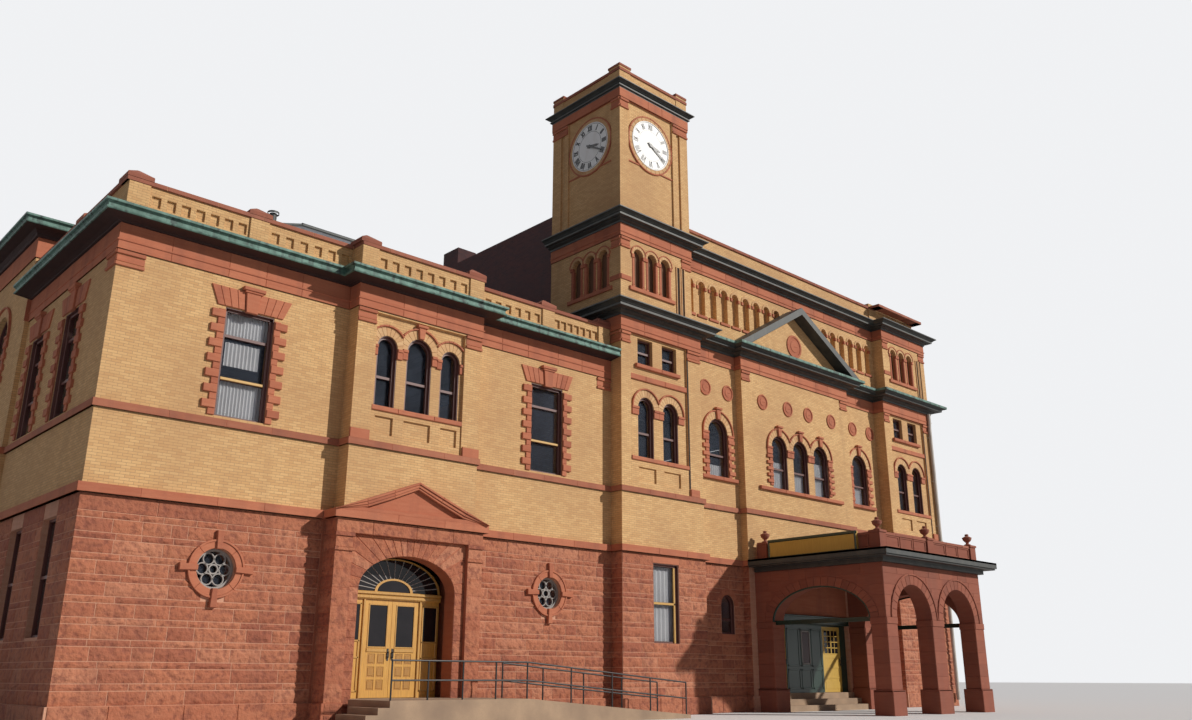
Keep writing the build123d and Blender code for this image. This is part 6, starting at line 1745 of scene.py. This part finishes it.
def spandrel(place, u0, u1, arches):
    """Courses of wall over the arches, each stopping at the ring of arch stones."""
    porch.place = place
    holes = [chord(x, half + RING_WIDE, rise + RING_WIDE) for x, half, rise in arches]
    for z0, z1 in pairs([PORT_SPRING + (PORT_TOP - PORT_SPRING) * n / 5 for n in range(6)]):
        for a, b in stretches(u0, u1, z0, z1, holes):
            for c, d in pairs(along(a, b, 0.7, 1.0)):
                stone(porch, c + 0.003, d - 0.003, -0.008, 0, z0 + 0.003, z1 - 0.003, 0.006)
    for x, half, rise in arches:
        for a0, a1 in turns(15 if half < 1.5 else 23, stop=math.pi, gap=0.004):
            angles = (a0, (a0 + a1) / 2, a1)
            outline = [oval_point(x, PORT_SPRING, half + RING_WIDE, rise + RING_WIDE, angle) for angle in angles]
            outline += [oval_point(x, PORT_SPRING, half, rise, angle) for angle in angles[::-1]]
            block(porch, outline, -0.02, 0, 0.008, rng.random())


corner_piers = ((PORT_L, PORT_L + PIER_WIDE), (PORT_R - PIER_WIDE, PORT_R))
for x0, x1 in (corner_piers[0], (STAGE_MID - 0.37, STAGE_MID + 0.37), corner_piers[1]):
    pier(x0, x1, PORT_FRONT, PORT_FRONT + 0.56, 4)
for x0, x1 in corner_piers:
    pier(x0, x1, -0.99, -0.3, 3)
front_arches = [(STAGE_MID + step, ARCH_R, ARCH_R) for step in (-1.45, 1.45)]
spandrel(front(PORT_FRONT), PORT_L, PORT_R, front_arches)
spandrel(left(PORT_L), 0.3, 5.4, [(SIDE_MID, SIDE_HALF, SIDE_RISE)])
spandrel(right(PORT_R), -5.4, -0.3, [(-SIDE_MID, SIDE_HALF, SIDE_RISE)])
porch.place = front(PORT_FRONT)
rim = ARCH_R + RING_WIDE
for x, half, rise in front_arches:
    stone_ring(porch, x, PORT_SPRING, rim, rim + 0.055, turns(9, stop=math.pi, gap=0.003), -0.05, 0.008, 4)
porch.piece("porch_stones", porch_stone)

# %% Cornice, parapet panels and coping
PANEL_LONG = 0.85
URN_SPOTS = ((22.525, -5.225), (25.5, -5.225), (28.475, -5.225), (22.525, -0.7), (28.475, -0.7))
metal, parapet = Pile(), Pile()


def porch_plan(inset):
    return [(PORT_L + inset, -0.41), (PORT_L + inset, PORT_FRONT + inset), (PORT_R - inset, PORT_FRONT + inset),
            (PORT_R - inset, -0.41)]


porch_eaves = [(0, 4.65), (0.10, 4.66), (0.12, 4.72), (0.15, 4.78), (0.16, 4.80), (0.42, 4.81), (0.42, 4.87),
               (0.445, 4.885), (0.45, 4.93), (0.48, 4.96), (0.50, 4.985), (0.50, 5.05), (0.47, 5.055), (-0.3, 5.055)]
sweep(metal, porch_plan(0), porch_eaves)
metal.piece("porch_cornice_metal", dark_metal, slot="dark_metal")
course_of(parapet, porch_plan(0.05), 5.54, 5.63, 0.035, 0.26, 1.2)
course_of(parapet, porch_plan(0.05), 5.05, 5.15, 0.025, 0.02, 1.2)
for place, a, b in ((front(PORT_FRONT + 0.05), 22.75, 25.28), (front(PORT_FRONT + 0.05), 25.72, 28.25),
                    (right(PORT_R - 0.05), -4.98, -0.95), (left(PORT_L + 0.05), 0.95, 4.98)):
    parapet.place = place
    count = round((b - a) / PANEL_LONG)
    for n in range(count):
        u0, u1 = a + (b - a) * n / count + 0.03, a + (b - a) * (n + 1) / count - 0.03
        for z0, z1, c, d in ((5.17, 5.21, u0, u1), (5.49, 5.53, u0, u1), (5.21, 5.49, u0, u0 + 0.05),
                             (5.21, 5.49, u1 - 0.05, u1)):
            slab(parapet, c, d, -0.02, 0, z0, z1, 0.006, 0.4)
parapet.place = Matrix()
for x, y in URN_SPOTS:
    pyramid_cap(parapet, x, y, 0.215, 5.60, 5.665, 5.70, 0.4)
parapet.piece("porch_parapet_stones", brown_stone)

# %% [markdown]
# ## Urns
# The covered urns were turned on a lathe from stone, so one outline of radius and height makes them: it
# is spun round each pier's middle. Cutting them from blocks would lose the round lip and the small knob.

# %% Urns turned on a lathe
URN_FOOT = 5.68
URN_SIDES = 18
URN_OUTLINE = ((0.12, 0.0), (0.12, 0.035), (0.06, 0.06), (0.05, 0.10), (0.075, 0.125), (0.125, 0.17), (0.155, 0.22),
               (0.155, 0.255), (0.17, 0.265), (0.17, 0.285), (0.13, 0.30), (0.09, 0.325), (0.06, 0.34), (0.045, 0.35),
               (0.07, 0.37), (0.075, 0.385), (0.05, 0.41), (0.004, 0.42))
urns = Pile()
for x, y in URN_SPOTS:
    points = [(*oval_point(x, y, r, r, 2 * math.pi * k / URN_SIDES), URN_FOOT + z)
              for r, z in URN_OUTLINE for k in range(URN_SIDES)]
    urns.add(points, ring_faces(len(URN_OUTLINE), URN_SIDES), rng.random())
urns.piece("turned_urns", brown_stone, stands_for=("portico_urns",))

# %% Sign board with a bare field in a dark frame
BOARD_ENDS, BOARD_FOOT, BOARD_TOP = (1.0, 4.57), 5.055, 5.70
board = Pile(left(PORT_L - 0.08))
slab(board, *BOARD_ENDS, -0.03, 0.06, BOARD_TOP - 0.09, BOARD_TOP + 0.012, 0.02)
slab(board, *BOARD_ENDS, -0.022, 0.0, BOARD_FOOT, BOARD_FOOT + 0.07, 0.01)
for u in (BOARD_ENDS[0], BOARD_ENDS[1] - 0.07):
    slab(board, u, u + 0.07, -0.022, 0.0, BOARD_FOOT, BOARD_TOP, 0.01)
board.piece("board_frame", dark_green, slot="painted_wood")

# %% [markdown]
# ## Doors and screen inside the portico
# Behind the arches stands a screen of painted wood with two door leaves: yellow bars over dark panes, and
# dark green panels between them. The bars could be painted on the glass, but they stand out from it and
# throw a shadow, so each is a strip of its own that rides on its leaf.

# %% Doors inside the portico
SCREEN_FACE = -0.15
PANE_FOOT, PANE_TOP = 1.98, 2.82
leaf_place = front(-0.13)
for body, x0, x1, rows, uprights in (("portico_leaf_left", 23.35, 24.15, 3, ()),
                                     ("portico_leaf_right", 26.40, 27.55, 4, ((2, 0.03), (1, 0.014), (3, 0.014)))):
    panes, bars = Pile(leaf_place), Pile(leaf_place)
    a, b = x0 + LEAF_STILE, x1 - LEAF_STILE
    slab(panes, a + 0.01, b - 0.01, 0.008, 0.016, PANE_FOOT + 0.01, PANE_TOP - 0.01, 0.002)
    for n in range(1, rows):
        z = PANE_FOOT + (PANE_TOP - PANE_FOOT) * n / rows
        slab(bars, a, b, -0.004, 0.010, z - 0.016, z + 0.016, 0.004)
    for quarter, half in uprights:
        u = a + quarter * (b - a) / 4
        slab(bars, u - half, u + half, -0.004, 0.010, PANE_FOOT, PANE_TOP, 0.004)
    beading(bars, a, b, PANE_FOOT, PANE_TOP, 0.025, 0.01, -0.010, 0.010, 0.004)
    slab(bars, a - 0.02, b + 0.02, -0.008, 0.003, 0.72, 0.98, 0.006)
    panes.piece(body + "_pane", door_glass, slot="glass", body=body)
    bars.piece(body + "_bars", yellow_paint, slot="painted_wood", body=body)
    handle(body, leaf_place, x1 - 0.065, 0.025, 1.52, 0.003, 0.009, (1.58, 1.72), 0.045)


# %% Dark green panels with a bare poster frame, and inside the side arches painted shade and a fascia
def panel_frame(pile, u0, u1, z0, z1, wide, out, edge):
    """Four strips round a flat panel."""
    for a, b, c, d in ((u0, u1, z0, z0 + wide), (u0, u1, z1 - wide, z1),
                       (u0, u0 + wide, z0, z1), (u1 - wide, u1, z0, z1)):
        slab(pile, a, b, -out, 0, c, d, edge)


screen = front(SCREEN_FACE)
green, frames, poster, trim = Pile(screen), Pile(screen), Pile(screen), Pile()
for u0, u1 in ((24.22, 24.95), (25.02, 25.62), (25.69, 26.32)):
    for z0, z1 in ((0.72, 1.42), (1.50, 2.84)):
        panel_frame(green, u0, u1, z0, z1, 0.06, 0.015, 0.005)
for z0, z1, out in ((3.245, 3.30, 0.045), (3.0, 3.035, 0.025)):
    slab(green, 23.1, 27.9, -0.21 - out, -0.205, z0, z1, 0.01)
green.piece("screen_panels", dark_green, slot="painted_wood")
panel_frame(frames, 25.06, 25.58, 1.58, 2.77, 0.05, 0.03, 0.008)
frames.piece("poster_frame", grey_bars, slot="painted_wood")
slab(poster, 25.11, 25.53, -0.012, 0, 1.63, 2.72, 0.003)
poster.piece("bare_poster", bare_board, slot="painted_wood")
for place, side in ((left(PORT_L), 1), (right(PORT_R), -1)):
    trim.place = place
    # A thin dark green strip follows each side arch's underside: painted shade along the arch. The slab below it is
    # the fascia.
    for a0, a1 in turns(30, stop=math.pi):
        ends = ((0, a0), (0, a1), (0.05, a1), (0.05, a0))
        outline = [oval_point(side * SIDE_MID, PORT_SPRING, SIDE_HALF - less, SIDE_RISE - less, angle)
                   for less, angle in ends]
        block(trim, outline, -0.012, 0.05, 0.001)
    a, b = beside(0, side, 0.99, 4.84)
    slab(trim, a, b, 0.12, 0.20, PORT_SPRING - 0.10, PORT_SPRING + 0.04, 0.004)
trim.piece("side_arch_shade_and_fascia", dark_green, slot="painted_wood")

# %% [markdown]
# ## Last fittings
# A rainwater pipe runs down the right pavilion, a small ridge vent stands on the hall roof, and caps of
# sheet metal close the ridges. They are small, but they are what tells a building from a model of one.

# %% Rain pipe, ridge caps and vent
RIDGE_LEFT, RIDGE_RIGHT = (7.35, 6.3, 15.5), (9.7, 6.3, 15.5)
VENT = (5.76, 5.0)


def pipe(pile, spots, r, sides=10):
    """A round pipe through the spots."""
    spots = [Vector(spot) for spot in spots]
    points = []
    for k, here in enumerate(spots):
        way = (spots[min(k + 1, len(spots) - 1)] - spots[max(k - 1, 0)]).normalized()
        across = way.orthogonal()
        other = way.cross(across)
        for n in range(sides):
            angle = 2 * math.pi * n / sides
            points.append(tuple(here + across * (r * math.cos(angle)) + other * (r * math.sin(angle))))
    pile.add(points, ring_faces(len(spots), sides), 0.5)


pipes, ridge = Pile(), Pile()
x, y = WING_RIGHT - 0.22, -0.60
pipe(pipes, [(x, y - 0.02, 12.62), (x, y - 0.02, 12.2), (x, y, 12.0), (x, y, 5.2), (x, y - 0.10, 4.9),
             (x, y - 0.10, 0.25)], 0.055)
for z in (11.5, 9.5, 7.5, 5.6):
    slab(pipes, x - 0.09, x + 0.09, y - 0.01, y + 0.10, z, z + 0.05, 0.006)
pipes.piece("rain_pipe", pale_pipe, slot="dark_metal")
pipe(ridge, [RIDGE_LEFT, RIDGE_RIGHT], 0.07)
for corner, top in (((0.35, 0.35, 11.39), RIDGE_LEFT), ((15.6, 0.35, 11.39), RIDGE_RIGHT),
                    ((15.6, 12.25, 11.39), RIDGE_RIGHT)):
    pipe(ridge, [corner, top], 0.05)
for z0, z1, r in ((14.5, 14.95, 0.08), (14.93, 15.0, 0.13)):
    pipe(ridge, [(*VENT, z0), (*VENT, z1)], r, 12)
ridge.piece("ridge_caps", dark_metal, slot="dark_metal")

# %% [markdown]
# ## Floor
# The building stands on a plain pale floor that belongs to the picture, not to the building. It is one
# large sheet. What the camera sees of it is pale, and what light meets is darker, so that it doesn't
# throw too much light up at the walls.

# %% Floor
REACH = 300
floor_look = Finish("pale_floor", roughness=0.9)
seen_directly = floor_look.add("ShaderNodeLightPath").outputs["Is Camera Ray"]
floor_look.colour(floor_look.mix(seen_directly, (0.58, 0.57, 0.56), (0.80, 0.795, 0.79)))
corners = [(-REACH, -REACH, 0), (REACH, -REACH, 0), (REACH, REACH, 0), (-REACH, REACH, 0)]
floor = plain_mesh("floor", corners, [(0, 1, 2, 3)])
floor.data.materials.append(floor_look.material)
print("floor laid,", 2 * REACH, "m wide")
